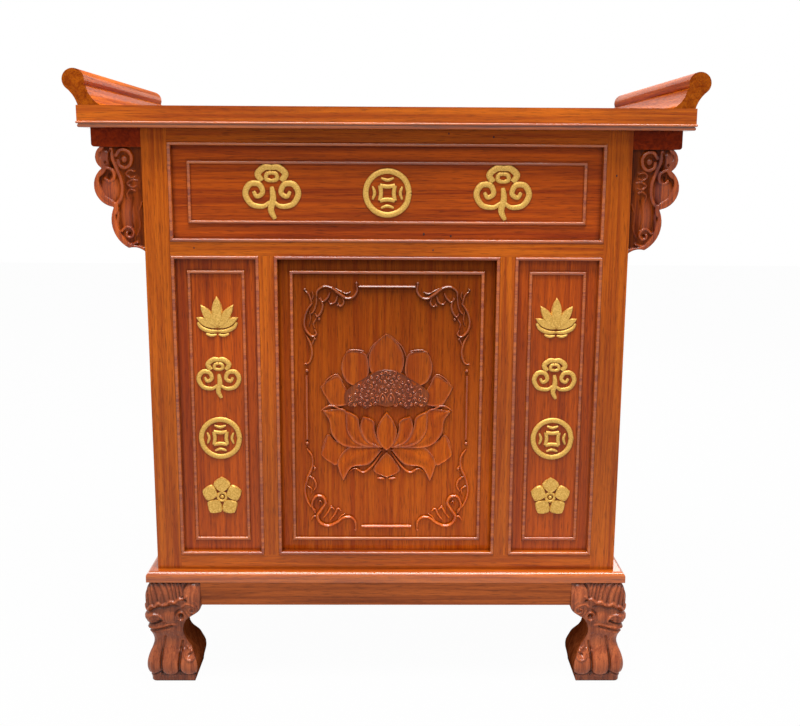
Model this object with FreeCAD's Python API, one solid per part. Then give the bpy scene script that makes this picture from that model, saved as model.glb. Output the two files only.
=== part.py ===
"""Merit box in the form of an altar table, in millimetres.

The box faces -Y, stands on the floor at Z = 0 and is centred on X = 0, Y = 0.
Four posts and their rails hold grooved panels. A slotted table board closes the top,
and a framed door with a cam lock closes the middle of the back.
"""

import FreeCAD
import Part
import math
import os

Vector = FreeCAD.Vector
Z_AXIS = Vector(0, 0, 1)
Y_AXIS = Vector(0, 1, 0)
X_AXIS = Vector(1, 0, 0)
ORIGIN = Vector(0, 0, 0)

# Cabinet body
body_width = 812.0
body_depth = 462.0
post_size = 42.0
rail_thickness = 30.0
bottom_rail_height = 26.0
lower_opening_height = 532.0
middle_rail_height = 23.0
frieze_opening_height = 165.0
top_rail_height = 21.0
side_top_rail_height = 60.0
mullion_width = 25.0
centre_opening_width = 382.0

# Panels in their grooves
panel_thickness = 12.0
panel_setback = 9.0
panel_tongue = 4.5
groove_bottom_gap = 0.5
groove_side_gap = 0.1

# Mortise and tenon joints
tenon_thickness = 10.0
tenon_length = 20.0
tenon_shoulder = 6.0
mullion_tenon_length = 10.0
post_tenon_size = 18.0
post_tenon_length = 10.0
tenon_gap = 0.15

# Mouldings
bead_width = 6.0
bead_proud = 2.0
frieze_border_width = 30.0
panel_border_width = 25.0
panel_bead_width = 6.0
panel_bead_height = 4.0

# Table board and its upturned ends
table_length = 1000.0
table_depth = 520.0
fascia_height = 25.0
table_bead_height = 4.0
table_bead_proud = 2.0
table_quirk_height = 1.5
table_quirk_inset = 1.5
table_fillet_height = 4.5
table_fillet_inset = 0.5
slot_length = 180.0
slot_width = 10.0
slot_chamfer = 3.0
flange_knob_radius = 18.0
flange_knob_height = 39.5
flange_knob_overhang = 2.2
flange_base_outer = 3.0
flange_base_inner = 39.0

# Bearers and carved brackets under the table's overhang
bearer_length = 82.0
bearer_height = 30.0
bearer_inset = 2.0
bearer_edge_radius = 5.0
bracket_height = 167.0
bracket_thickness = 22.0
bracket_setback = 4.0

# Plinth, apron, legs and floor of the money chamber
plinth_thickness = 18.5
plinth_projection = 18.0
plinth_member_width = 80.0
plinth_edge_radius = 8.0
apron_height = 42.0
apron_thickness = 20.0
apron_inset = 3.0
apron_tenon_length = 15.0
leg_height = 189.5
leg_shoulder = 98.0
leg_proud = 2.5
bottom_board_thickness = 12.0
bottom_board_gap = 0.5

# Back door
door_gap = 1.5
door_thickness = 20.0
door_stile_width = 50.0
door_panel_setback = 4.0
door_lip_width = 8.0
door_lip_gap = 0.5

# Butt hinges of the back door
hinge_height = 64.0
hinge_end_distance = 90.0
hinge_leaf_width = 17.0
hinge_leaf_thickness = 1.6
hinge_pin_radius = 1.8
hinge_pin_gap = 0.06
hinge_knuckle_radius = 3.5
hinge_axis_offset = 4.0
hinge_knuckles = 5
hinge_knuckle_gap = 0.3
screw_head_radius = 3.0
screw_shank_radius = 1.5
screw_length = 12.0
screw_spacing = 22.0
screw_gap = 0.05

# Cam lock and knob of the back door
lock_barrel_radius = 9.0
lock_bezel_radius = 12.0
lock_bezel_thickness = 2.0
lock_plug_radius = 6.0
lock_running_gap = 0.06
lock_cam_length = 32.0
lock_cam_width = 14.0
lock_cam_thickness = 2.5
lock_cam_clearance = 1.0
lock_nut_width = 24.0
lock_nut_thickness = 5.0
keyway_width = 1.8
keyway_length = 8.0
keyway_depth = 16.0
knob_radius = 11.0
knob_neck_radius = 5.0
knob_stem_radius = 2.5
knob_stem_length = 12.0
knob_projection = 22.0
knob_above_lock = 60.0

# Gilt ornaments and the lotus carving
ornament_relief = 4.0
frieze_ornament_width = 96.0
frieze_ornament_spacing = 193.0
side_ornament_width = 76.0
side_ornament_count = 4
side_ornament_spacing = 107.0
carved_lotus_size = 100.0
carving_relief = 4.5
carving_bar_width = 6.0

# Heights of the stack, from the floor up
z_plinth = leg_height
z_body = z_plinth + plinth_thickness
z_lower_opening = z_body + bottom_rail_height
z_middle_rail = z_lower_opening + lower_opening_height
z_frieze = z_middle_rail + middle_rail_height
z_top_rail = z_frieze + frieze_opening_height
z_table = z_top_rail + top_rail_height
z_fascia = z_table + table_fillet_height + table_quirk_height + table_bead_height
z_table_top = z_fascia + fascia_height

# Faces and edges that several pieces share
front_face = body_depth / 2
side_face = body_width / 2
front_half = side_face - post_size
side_half = front_face - post_size
mullion_inner = centre_opening_width / 2
mullion_outer = mullion_inner + mullion_width
z_side_top_rail = z_table - side_top_rail_height
z_lower_middle = z_lower_opening + lower_opening_height / 2
door_half = mullion_inner - door_gap
hinge_x = mullion_inner - door_gap / 2
hinge_y = front_face + hinge_axis_offset
lock_x = door_half - door_stile_width / 2
door_inner_y = front_face - door_thickness
lip_inner_y = front_face - rail_thickness


def box(x0, x1, y0, y1, z0, z1):
    """A box between two corners."""
    return Part.makeBox(x1 - x0, y1 - y0, z1 - z0, Vector(x0, y0, z0))


def cylinder(radius, start, direction, length):
    """A solid cylinder from a point along a direction."""
    return Part.makeCylinder(radius, length, start, direction)


def turned(shape, degrees):
    """A copy of the shape turned about the vertical centre line."""
    copy = shape.copy()
    copy.rotate(ORIGIN, Z_AXIS, degrees)
    return copy


def mirrored_x(shape):
    """The left-right mirror image."""
    return shape.mirror(ORIGIN, X_AXIS)


def mirrored_y(shape):
    """The front-back mirror image."""
    return shape.mirror(ORIGIN, Y_AXIS)


def outline(steps, place):
    """A closed wire: each step is a point, or a middle point and an end point of an arc.

    place turns a pair of numbers into a point in space.
    """
    edges = []
    here = place(steps[0])
    for step in steps[1:] + [steps[0]]:
        if isinstance(step[0], tuple):
            end = place(step[1])
            edges.append(Part.Arc(here, place(step[0]), end).toShape())
        else:
            end = place(step)
            if (end - here).Length > 1e-6:
                edges.append(Part.makeLine(here, end))
        here = end
    return Part.Wire(edges)


def slab(steps, place, direction):
    """An outline filled and extruded."""
    return Part.Face(outline(steps, place)).extrude(direction)


def joined(shapes):
    """The union of solids that touch or overlap, with shared seams removed."""
    whole = shapes[0]
    for shape in shapes[1:]:
        whole = whole.fuse(shape)
    return whole.removeSplitter()


def save(name, *shapes):
    """Writes one sub-part: its solids stay separate."""
    solids = [solid for shape in shapes for solid in shape.Solids]
    Part.makeCompound(solids).exportStep(f"parts/{name}.step")


# Frame members are drawn for a wall facing -Y, whose outer face is at -face

def grown(shape_box, in_plane, through):
    """The space of a box (x0, x1, y0, y1, z0, z1), wider in X and Z and in Y."""
    x0, x1, y0, y1, z0, z1 = shape_box
    return box(
        x0 - in_plane,
        x1 + in_plane,
        y0 - through,
        y1 + through,
        z0 - in_plane,
        z1 + in_plane,
    )


def panel_box(face, opening):
    """The corners of a panel that fills an opening (x0, x1, z0, z1) and its grooves."""
    x0, x1, z0, z1 = inset(opening, -panel_tongue)
    y0 = -face + panel_setback
    return (x0, x1, y0, y0 + panel_thickness, z0, z1)


def panel(face, opening):
    """A flat panel with its tongue all round."""
    return box(*panel_box(face, opening))


def groove(face, opening):
    """The space that a panel's edges need in the frame."""
    return grown(panel_box(face, opening), groove_bottom_gap, groove_side_gap)


def tenon_band(face):
    """Front and back of every tenon of a wall, centred in the rail."""
    middle = -face + rail_thickness / 2
    return middle - tenon_thickness / 2, middle + tenon_thickness / 2


def rail_tenon_box(face, half, z0, z1):
    """The bar through a rail whose ends are its two tenons."""
    y0, y1 = tenon_band(face)
    reach = half + tenon_length
    return (-reach, reach, y0, y1, z0 + tenon_shoulder, z1 - tenon_shoulder)


def rail(face, half, z0, z1):
    """A horizontal rail between two posts, with its tenons."""
    body = box(-half, half, -face, -face + rail_thickness, z0, z1)
    return joined([body, box(*rail_tenon_box(face, half, z0, z1))])


def mullion_tenon_box(face, x0, x1):
    """The bar through an upright whose ends are its two tenons."""
    y0, y1 = tenon_band(face)
    return (
        x0 + tenon_shoulder,
        x1 - tenon_shoulder,
        y0,
        y1,
        z_lower_opening - mullion_tenon_length,
        z_middle_rail + mullion_tenon_length,
    )


def mullion(face, x0, x1):
    """An upright between the bottom rail and the rail above the lower openings."""
    body = box(x0, x1, -face, -face + rail_thickness, z_lower_opening, z_middle_rail)
    return joined([body, box(*mullion_tenon_box(face, x0, x1))])


def rail_mortises(face, half, levels):
    """The spaces of the rails' tenons in the posts."""
    return [grown(rail_tenon_box(face, half, z0, z1), tenon_gap, tenon_gap) for z0, z1 in levels]


def mullion_mortises(face, places):
    """The spaces of the uprights' tenons in the rails."""
    return [grown(mullion_tenon_box(face, x0, x1), tenon_gap, tenon_gap) for x0, x1 in places]


bottom_rail_level = (z_body, z_lower_opening)
middle_rail_level = (z_middle_rail, z_frieze)
top_rail_level = (z_top_rail, z_table)
side_top_rail_level = (z_side_top_rail, z_table)
rear_top_level = (z_middle_rail, z_table)

frieze_opening = (-front_half, front_half, z_frieze, z_top_rail)
left_opening = (-front_half, -mullion_outer, z_lower_opening, z_middle_rail)
centre_opening = (-mullion_inner, mullion_inner, z_lower_opening, z_middle_rail)
right_opening = (mullion_outer, front_half, z_lower_opening, z_middle_rail)
side_opening = (-side_half, side_half, z_lower_opening, z_side_top_rail)

front_openings = [frieze_opening, left_opening, centre_opening, right_opening]
rear_fixed_openings = [left_opening, right_opening]
mullion_places = [(-mullion_outer, -mullion_inner), (mullion_inner, mullion_outer)]
front_levels = [bottom_rail_level, middle_rail_level, top_rail_level]
rear_levels = [bottom_rail_level, rear_top_level]
side_levels = [bottom_rail_level, side_top_rail_level]


def front_frame():
    """The rails and uprights of the front, grooved for the four panels."""
    spaces = [groove(front_face, opening) for opening in front_openings]
    seats = mullion_mortises(front_face, mullion_places)
    names = ["front_bottom_rail", "front_middle_rail", "front_top_rail"]
    for name, (z0, z1) in zip(names, front_levels):
        save(name, rail(front_face, front_half, z0, z1).cut(spaces + seats))
    for name, place in zip(["front_mullion_left", "front_mullion_right"], mullion_places):
        save(name, mullion(front_face, *place).cut(spaces))


def side_frames():
    """The top and bottom rail and the panel of each side."""
    space = groove(side_face, side_opening)
    bottom = rail(side_face, side_half, *bottom_rail_level).cut(space)
    top = rail(side_face, side_half, *side_top_rail_level).cut(space)
    board = panel(side_face, side_opening)
    for side, degrees in (("right", 90), ("left", -90)):
        save(f"side_bottom_rail_{side}", turned(bottom, degrees))
        save(f"side_top_rail_{side}", turned(top, degrees))
        save(f"side_panel_{side}", turned(board, degrees))


def hinge_levels():
    """The middle height of each hinge."""
    reach = hinge_end_distance + hinge_height / 2
    return [z_lower_opening + reach, z_middle_rail - reach]


def hinge_seats(x0, x1):
    """The shallow recesses for the hinge leaves in an edge at the back, as drawn facing -Y."""
    y0 = -front_face - 1.0
    y1 = -front_face + hinge_leaf_width
    return [box(x0, x1, y0, y1, z - hinge_height / 2, z + hinge_height / 2) for z in hinge_levels()]


def screw_places():
    """The heights of all the screws on one side of the hinges."""
    offsets = (-screw_spacing, 0.0, screw_spacing)
    return [z + offset for z in hinge_levels() for offset in offsets]


def hinge_screw(x, z, direction, gap=0.0):
    """A countersunk screw driven along X from the leaf's open face, as drawn facing -Y."""
    start = Vector(x, -front_face + hinge_leaf_width / 2, z)
    way = Vector(direction, 0, 0)
    head_radius = screw_head_radius + gap
    shank_radius = screw_shank_radius + gap
    head = Part.makeCone(head_radius, shank_radius, hinge_leaf_thickness, start, way)
    shank = cylinder(shank_radius, start, way, screw_length + gap)
    return joined([head, shank])


def hinge_screws(x, direction, gap=0.0):
    """All the screws of the leaves on one side of the joint."""
    return [hinge_screw(x, z, direction, gap) for z in screw_places()]


def rear_frame():
    """The back: a wide top board, a bottom rail, two uprights and two fixed panels."""
    spaces = [groove(front_face, opening) for opening in rear_fixed_openings]
    seats = mullion_mortises(front_face, mullion_places)
    top = rail(front_face, front_half, *rear_top_level).cut(spaces + seats)
    bottom = rail(front_face, front_half, *bottom_rail_level).cut(spaces + seats)
    hinge_side, lock_side = mullion_places
    recesses = hinge_seats(-mullion_inner - hinge_leaf_thickness, -mullion_inner + 1.0)
    pilots = hinge_screws(-mullion_inner, -1, screw_gap)
    hinge_upright = mullion(front_face, *hinge_side).cut(spaces + recesses + pilots)
    lip = box(
        mullion_inner - door_lip_width,
        mullion_inner,
        -door_inner_y + door_lip_gap,
        -lip_inner_y,
        z_lower_opening,
        z_middle_rail,
    )
    lock_upright = joined([mullion(front_face, *lock_side), lip]).cut(spaces)
    save("rear_top_board", turned(top, 180))
    save("rear_bottom_rail", turned(bottom, 180))
    save("rear_upright_hinge", turned(hinge_upright, 180))
    save("rear_upright_lock", turned(lock_upright, 180))
    save("rear_panel_right", turned(panel(front_face, left_opening), 180))
    save("rear_panel_left", turned(panel(front_face, right_opening), 180))


def posts():
    """The four corner posts, mortised and grooved for both walls that they join."""
    x0 = -side_face
    y0 = -front_face
    blank = box(x0, x0 + post_size, y0, y0 + post_size, z_body, z_table)
    centre_x = x0 + post_size / 2
    centre_y = y0 + post_size / 2
    half = post_tenon_size / 2
    peg = box(
        centre_x - half,
        centre_x + half,
        centre_y - half,
        centre_y + half,
        z_body - post_tenon_length,
        z_table + post_tenon_length,
    )
    blank = joined([blank, peg])
    front_cuts = rail_mortises(front_face, front_half, front_levels)
    front_cuts += [groove(front_face, opening) for opening in front_openings]
    rear_cuts = rail_mortises(front_face, front_half, rear_levels)
    rear_cuts += [groove(front_face, opening) for opening in rear_fixed_openings]
    side_cuts = rail_mortises(side_face, side_half, side_levels)
    side_cuts.append(groove(side_face, side_opening))
    rear_cuts = [turned(cut, 180) for cut in rear_cuts]
    side_cuts = [turned(cut, degrees) for cut in side_cuts for degrees in (90, -90)]
    for name, blank_here in (("left", blank), ("right", mirrored_x(blank))):
        save(f"post_front_{name}", blank_here.cut(front_cuts + side_cuts))
        save(f"post_rear_{name}", mirrored_y(blank_here).cut(rear_cuts + side_cuts))


def post_peg_spaces():
    """The mortises for the posts' end tenons in the table board and the plinth."""
    half = post_tenon_size / 2 + tenon_gap
    spaces = []
    for sign_x in (-1, 1):
        for sign_y in (-1, 1):
            x = sign_x * (side_face - post_size / 2)
            y = sign_y * (front_face - post_size / 2)
            z0 = z_body - post_tenon_length - tenon_gap
            z1 = z_table + post_tenon_length + tenon_gap
            spaces.append(box(x - half, x + half, y - half, y + half, z0, z1))
    return spaces


def mitred_strips(opening, width, section):
    """Four strips round the inside of an opening, mitred at its corners.

    section(length) is a bar along +X from 0, with its outer edge on Z = 0 and growing to Z = width.
    """
    x0, x1, z0, z1 = opening
    strips = []
    for length, degrees, corner in (
        (x1 - x0, 0, Vector(x0, 0, z0)),
        (z1 - z0, -90, Vector(x1, 0, z0)),
        (x1 - x0, 180, Vector(x1, 0, z1)),
        (z1 - z0, 90, Vector(x0, 0, z1)),
    ):
        bar = section(length)
        reach = bar.BoundBox
        mitre = slab(
            [(0, 0), (length, 0), (length - width, width), (width, width)],
            lambda p: Vector(p[0], reach.YMin - 1, p[1]),
            Vector(0, reach.YLength + 2, 0),
        )
        strip = bar.common(mitre)
        strip.rotate(ORIGIN, Y_AXIS, degrees)
        strip.translate(corner)
        strips.append(strip)
    return strips


def opening_bead_section(face):
    """A strip from the panel's face to just in front of the frame, with a round nose."""
    back = -face + panel_setback
    nose = -face - bead_proud
    radius = bead_width / 2

    def section(length):
        steps = [
            (back, 0),
            (nose + radius, 0),
            ((nose, radius), (nose + radius, bead_width)),
            (back, bead_width),
        ]
        return slab(steps, lambda p: Vector(0, p[0], p[1]), Vector(length, 0, 0))

    return section


def panel_bead_section(face):
    """A low half-round strip on the panel's face."""
    back = -face + panel_setback
    nose = back - panel_bead_height
    side = back - panel_bead_height / 3

    def section(length):
        steps = [
            (back, 0),
            (side, 0),
            ((nose, panel_bead_width / 2), (side, panel_bead_width)),
            (back, panel_bead_width),
        ]
        return slab(steps, lambda p: Vector(0, p[0], p[1]), Vector(length, 0, 0))

    return section


def inset(opening, distance):
    """An opening drawn in by a distance on every side."""
    x0, x1, z0, z1 = opening
    return (x0 + distance, x1 - distance, z0 + distance, z1 - distance)


def field_of(opening):
    """The part of an opening inside its panel bead's outer edge."""
    return inset(opening, frieze_border_width if opening == frieze_opening else panel_border_width)


def beads():
    """The strips round the openings and the strips that frame each field."""
    outer = []
    inner = []
    for opening in front_openings:
        outer += mitred_strips(opening, bead_width, opening_bead_section(front_face))
        inner += mitred_strips(field_of(opening), panel_bead_width, panel_bead_section(front_face))
    save("front_opening_beads", *outer)
    save("front_panel_beads", *inner)
    canonical = mitred_strips(side_opening, bead_width, opening_bead_section(side_face))
    sides = [turned(strip, degrees) for strip in canonical for degrees in (90, -90)]
    save("side_opening_beads", *sides)


# Ornaments are drawn in a plane with their centre at (0, 0) and width 1, then scaled and placed

def on_panel(x, z, scale):
    """Places a drawn point on the front panels' face."""
    y = -front_face + panel_setback
    return lambda p: Vector(x + scale * p[0], y, z + scale * p[1])


def disc(x, z, scale, centre, radius, relief):
    """A round raised piece."""
    return cylinder(scale * radius, on_panel(x, z, scale)(centre), -Y_AXIS, relief)


def polar(radius, degrees):
    """A point at a distance and an angle measured from straight up."""
    turn = math.radians(degrees)
    return (radius * math.sin(turn), radius * math.cos(turn))


def square(half):
    """The corners of a square about the centre."""
    return [(-half, -half), (half, -half), (half, half), (-half, half)]


def leaf(x, z, scale, base, degrees, length, width, relief):
    """A pointed petal: two arcs from a base to a tip."""
    turn = math.radians(degrees)

    def local(side, along):
        across = side * math.cos(turn) + along * math.sin(turn)
        up = along * math.cos(turn) - side * math.sin(turn)
        return (base[0] + across, base[1] + up)

    steps = [
        local(0, 0),
        (local(-width / 2, length * 0.5), local(0, length)),
        (local(width / 2, length * 0.5), local(0, 0)),
    ]
    return slab(steps, on_panel(x, z, scale), -Y_AXIS * relief)


def coin(x, z, scale):
    """A round coin with a raised rim and a square hole."""
    plate = disc(x, z, scale, (0, 0), 0.5, ornament_relief * 0.6)
    rim = disc(x, z, scale, (0, 0), 0.5, ornament_relief)
    rim = rim.cut(disc(x, z, scale, (0, 0), 0.41, 2 * ornament_relief))
    place = on_panel(x, z, scale)
    collar = slab(square(0.17), place, -Y_AXIS * ornament_relief)
    hole = slab(square(0.1), place, -Y_AXIS * 2 * ornament_relief)
    return joined([plate, rim, collar]).cut(hole)


def blossom(x, z, scale):
    """Five round petals about a raised eye."""
    petals = [disc(x, z, scale, polar(0.29, 72 * i), 0.2, ornament_relief * 0.7) for i in range(5)]
    heart = disc(x, z, scale, (0, 0), 0.15, ornament_relief)
    return joined([disc(x, z, scale, (0, 0), 0.25, ornament_relief * 0.5), heart] + petals)


def lotus(x, z, scale):
    """A lotus flower from the side, on two curled leaves."""
    base = (0, -0.3)
    petals = [
        leaf(x, z, scale, base, 0, 0.8, 0.3, ornament_relief),
        leaf(x, z, scale, base, 32, 0.72, 0.28, ornament_relief * 0.8),
        leaf(x, z, scale, base, -32, 0.72, 0.28, ornament_relief * 0.8),
        leaf(x, z, scale, base, 64, 0.56, 0.26, ornament_relief * 0.6),
        leaf(x, z, scale, base, -64, 0.56, 0.26, ornament_relief * 0.6),
        leaf(x, z, scale, base, 108, 0.42, 0.2, ornament_relief * 0.5),
        leaf(x, z, scale, base, -108, 0.42, 0.2, ornament_relief * 0.5),
    ]
    return joined(petals)


def cloud(x, z, scale):
    """A cloud head of three scrolls over a tapering tail."""
    lobes = [
        disc(x, z, scale, (-0.27, 0.0), 0.23, ornament_relief),
        disc(x, z, scale, (0.27, 0.0), 0.23, ornament_relief),
        disc(x, z, scale, (0.0, 0.19), 0.25, ornament_relief),
    ]
    tail = leaf(x, z, scale, (0, 0.15), 180, 0.62, 0.36, ornament_relief)
    head = joined(lobes + [tail])
    for side in (-1, 1):
        ring = disc(x, z, scale, (side * 0.27, 0.0), 0.15, 2 * ornament_relief)
        ring = ring.cut(disc(x, z, scale, (side * 0.27, 0.0), 0.09, 3 * ornament_relief))
        ring.translate(Vector(0, -ornament_relief * 0.5, 0))
        head = head.cut(ring)
    return head


def gilt_ornaments():
    """Three ornaments on the frieze and four down each narrow panel."""
    z_frieze_middle = z_frieze + frieze_opening_height / 2
    save(
        "gilt_frieze_ornaments",
        cloud(-frieze_ornament_spacing, z_frieze_middle, frieze_ornament_width),
        coin(0, z_frieze_middle, frieze_ornament_width * 0.86),
        cloud(frieze_ornament_spacing, z_frieze_middle, frieze_ornament_width),
    )
    motifs = [lotus, cloud, coin, blossom]
    top = z_lower_middle + side_ornament_spacing * (side_ornament_count - 1) / 2
    x_side = (mullion_outer + front_half) / 2
    for name, x in (("left", -x_side), ("right", x_side)):
        pieces = []
        for i in range(side_ornament_count):
            motif = motifs[i % len(motifs)]
            pieces.append(motif(x, top - i * side_ornament_spacing, side_ornament_width))
        save(f"gilt_{name}_ornaments", *pieces)


# The lotus of the centre panel, as petals of (base, direction, length, width, share of the relief),
# where bases, lengths and widths are shares of carved_lotus_size
carved_petals = [
    ((0, -0.05), 0, 1.50, 0.66, 0.4),
    ((-0.20, 0.05), -24, 1.12, 0.54, 0.45),
    ((-0.40, -0.05), -50, 0.92, 0.46, 0.4),
    ((0, -0.72), -46, 1.60, 0.52, 0.5),
    ((0, -0.72), -28, 1.20, 0.50, 0.65),
    ((0, -0.70), -66, 1.18, 0.50, 0.35),
    ((0, -0.66), -116, 1.16, 0.56, 0.4),
    ((0, -0.62), -98, 1.24, 0.44, 0.3),
]


def carved_lotus(x, z):
    """The large lotus: petals in layers, a seed pod and the front petal."""
    size = carved_lotus_size
    pieces = []
    for base, degrees, length, width, share in carved_petals:
        for side in (-1, 1) if degrees else (1,):
            foot = (side * base[0], base[1])
            pieces.append(leaf(x, z, size, foot, side * degrees, length, width, carving_relief * share))
    pod = slab(
        [
            (-0.68, 0),
            ((-0.60, 0.26), (-0.34, 0.34)),
            ((0, 0.62), (0.34, 0.34)),
            ((0.60, 0.26), (0.68, 0)),
            ((0, -0.12), (-0.68, 0)),
        ],
        on_panel(x, z, size),
        -Y_AXIS * carving_relief * 0.8,
    )
    front = leaf(x, z, size, (0, -0.74), 0, 0.62, 0.36, carving_relief)
    return joined(pieces + [pod, front])


def carved_border(x, z, half_width, half_height):
    """Straight bars with a scroll at each corner."""
    width = carving_bar_width
    relief = carving_relief * 0.6
    y = -front_face + panel_setback
    bar_x = half_width * 0.35
    bar_z = half_height * 0.42
    ring_radius = half_width * 0.16
    pieces = []
    for side in (-1, 1):
        z_bar = z + side * (half_height - width / 2)
        x_bar = x + side * (half_width - width / 2)
        pieces.append(box(x - bar_x, x + bar_x, y - relief, y, z_bar - width / 2, z_bar + width / 2))
        pieces.append(box(x_bar - width / 2, x_bar + width / 2, y - relief, y, z - bar_z, z + bar_z))
        for up in (-1, 1):
            x_ring = half_width - ring_radius
            for across, rise in (
                (bar_x + ring_radius, half_height - ring_radius),
                (x_ring, half_height - 2.6 * ring_radius),
                (x_ring, bar_z + ring_radius),
            ):
                centre = Vector(x + side * across, y, z + up * rise)
                ring = cylinder(ring_radius, centre, -Y_AXIS, relief)
                pieces.append(ring.cut(cylinder(ring_radius - width, centre, -Y_AXIS, relief)))
    return pieces


def front_panels():
    """Plain boards for the frieze and the narrow openings, and the carved centre board."""
    save("frieze_panel", panel(front_face, frieze_opening))
    save("front_panel_left", panel(front_face, left_opening))
    save("front_panel_right", panel(front_face, right_opening))
    field = inset(field_of(centre_opening), panel_bead_width + 10.0)
    half_width = field[1]
    half_height = (field[3] - field[2]) / 2
    carving = [carved_lotus(0, z_lower_middle)] + carved_border(0, z_lower_middle, half_width, half_height)
    save("front_panel_centre", joined([panel(front_face, centre_opening)] + carving))


def table_board():
    """The table board: fascia, bead, quirk and lower fillet, with the money slot."""
    def layer(z0, height, offset, radius):
        half_x = table_length / 2 + offset
        half_y = table_depth / 2 + offset
        block = box(-half_x, half_x, -half_y, half_y, z0, z0 + height)
        if radius:
            rim = [edge for edge in block.Edges if abs(edge.BoundBox.ZLength) < 1e-6]
            low = [edge for edge in rim if abs(edge.BoundBox.ZMin - z0) < 1e-6]
            block = block.makeFillet(radius, low)
        return block

    z_quirk = z_table + table_fillet_height
    z_bead = z_quirk + table_quirk_height
    bead = layer(z_bead, table_bead_height, table_bead_proud, 0)
    bead = bead.makeFillet(table_bead_height * 0.45, bead.Edges)
    board = joined([
        layer(z_fascia, fascia_height, 0, 0),
        bead,
        layer(z_quirk, table_quirk_height, -table_quirk_inset, 0),
        layer(z_table, table_fillet_height, -table_fillet_inset, table_fillet_height * 0.5),
    ])
    slot_x = slot_length / 2
    slot_y = slot_width / 2
    through = box(-slot_x, slot_x, -slot_y, slot_y, z_table - 1, z_table_top + 1)
    rims = []
    for z, spread in ((z_table_top - slot_chamfer, 0.0), (z_table_top, slot_chamfer)):
        half_x = slot_x + spread
        half_y = slot_y + spread
        corners = [(-half_x, -half_y), (half_x, -half_y), (half_x, half_y), (-half_x, half_y)]
        rims.append(outline(corners, lambda p, z=z: Vector(p[0], p[1], z)))
    lead_in = Part.makeLoft(rims, True, True)
    save("top_board", board.cut([through, lead_in] + post_peg_spaces()))


def end_flanges():
    """The upturned ends: a rounded roll on a hollow neck, along the whole depth."""
    radius = flange_knob_radius
    centre = (-flange_knob_overhang, flange_knob_height)

    def on_roll(degrees):
        turn = math.radians(degrees)
        return (centre[0] + radius * math.cos(turn), centre[1] + radius * math.sin(turn))

    crease = on_roll(-25)
    step = (crease[0] + 3.5, crease[1] - 3.0)
    low_roll = on_roll(225)
    hollow = ((flange_base_inner + step[0]) / 2 - 4.0, step[1] / 2 - 1.0)
    waist = ((flange_base_outer + low_roll[0]) / 2 + 2.5, low_roll[1] / 2 + 1.0)
    steps = [
        (flange_base_inner, 0),
        (hollow, step),
        crease,
        (on_roll(100), low_roll),
        (waist, (flange_base_outer, 0)),
    ]
    left = slab(
        steps,
        lambda p: Vector(-table_length / 2 + p[0], -table_depth / 2, z_table_top + p[1]),
        Vector(0, table_depth, 0),
    )
    save("end_flange_left", left)
    save("end_flange_right", mirrored_x(left))


# Bracket outline: distance out from the post and height below the bearer, both as shares
bracket_steps = [
    (0.0, 0.0),
    (0.84, 0.0),
    ((0.94, 0.08), (0.82, 0.21)),
    ((0.985, 0.34), (0.61, 0.592)),
    ((0.67, 0.75), (0.34, 1.0)),
    ((0.14, 1.0), (0.0, 1.04)),
]


def bearers_and_brackets():
    """The bearer under each end of the table and the carved bracket at each corner."""
    x0 = side_face
    z0 = z_table - bearer_height
    half = front_face - bearer_inset
    bearer = box(x0, x0 + bearer_length, -half, half, z0, z_table)
    outer_low = [
        edge
        for edge in bearer.Edges
        if edge.BoundBox.XMin > x0 + bearer_length - 1e-3 and edge.BoundBox.ZMax < z0 + 1e-3
    ]
    bearer = bearer.makeFillet(bearer_edge_radius, outer_low)
    save("bearer_right", bearer)
    save("bearer_left", mirrored_x(bearer))
    y0 = -front_face + bracket_setback
    bracket = slab(
        bracket_steps,
        lambda p: Vector(x0 + p[0] * bearer_length, y0, z0 - p[1] * bracket_height),
        Vector(0, bracket_thickness, 0),
    )
    save("bracket_front_right", bracket)
    save("bracket_front_left", mirrored_x(bracket))
    save("bracket_rear_right", mirrored_y(bracket))
    save("bracket_rear_left", mirrored_y(mirrored_x(bracket)))


def plinth():
    """Four mitred members with a rounded upper edge."""
    half_x = side_face + plinth_projection
    half_y = front_face + plinth_projection
    members = []
    for half, face, degrees in (
        (half_x, half_y, 0),
        (half_y, half_x, 90),
        (half_x, half_y, 180),
        (half_y, half_x, -90),
    ):
        width = plinth_member_width
        radius = plinth_edge_radius
        bend = radius * (1 - math.sqrt(0.5))
        steps = [
            (-face + width, z_plinth),
            (-face, z_plinth),
            (-face, z_body - radius),
            ((-face + bend, z_body - bend), (-face + radius, z_body)),
            (-face + width, z_body),
        ]
        bar = slab(steps, lambda p: Vector(-half, p[0], p[1]), Vector(2 * half, 0, 0))
        mitre = slab(
            [(-half, -face), (half, -face), (half - width, -face + width), (-half + width, -face + width)],
            lambda p: Vector(p[0], p[1], z_plinth - 1),
            Vector(0, 0, plinth_thickness + 2),
        )
        members.append(turned(bar.common(mitre), degrees).cut(post_peg_spaces()))
    save("plinth_frame", *members)


# Leg outline as (distance in from the outer face, height), sawn through the block both ways
leg_outer = [
    (9, 189.5), (3.5, 179), (0, 165), (0, 150), (1.5, 135), (2, 118), (5.5, 97), (11, 82),
    (11.5, 73), (8, 62), (3.5, 48), (1, 36), (1, 23), (3.5, 12), (4.5, 0),
]
leg_inner = [
    (83.5, 0), (85, 12), (88, 25), (87.5, 38), (84, 49), (78.5, 63), (69.5, 77), (64.5, 90),
    (65.5, 107), (72, 120), (85, 129), (94, 136), (98, 148),
]
leg_outline_height = 189.5
leg_outline_width = 98.0


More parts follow.
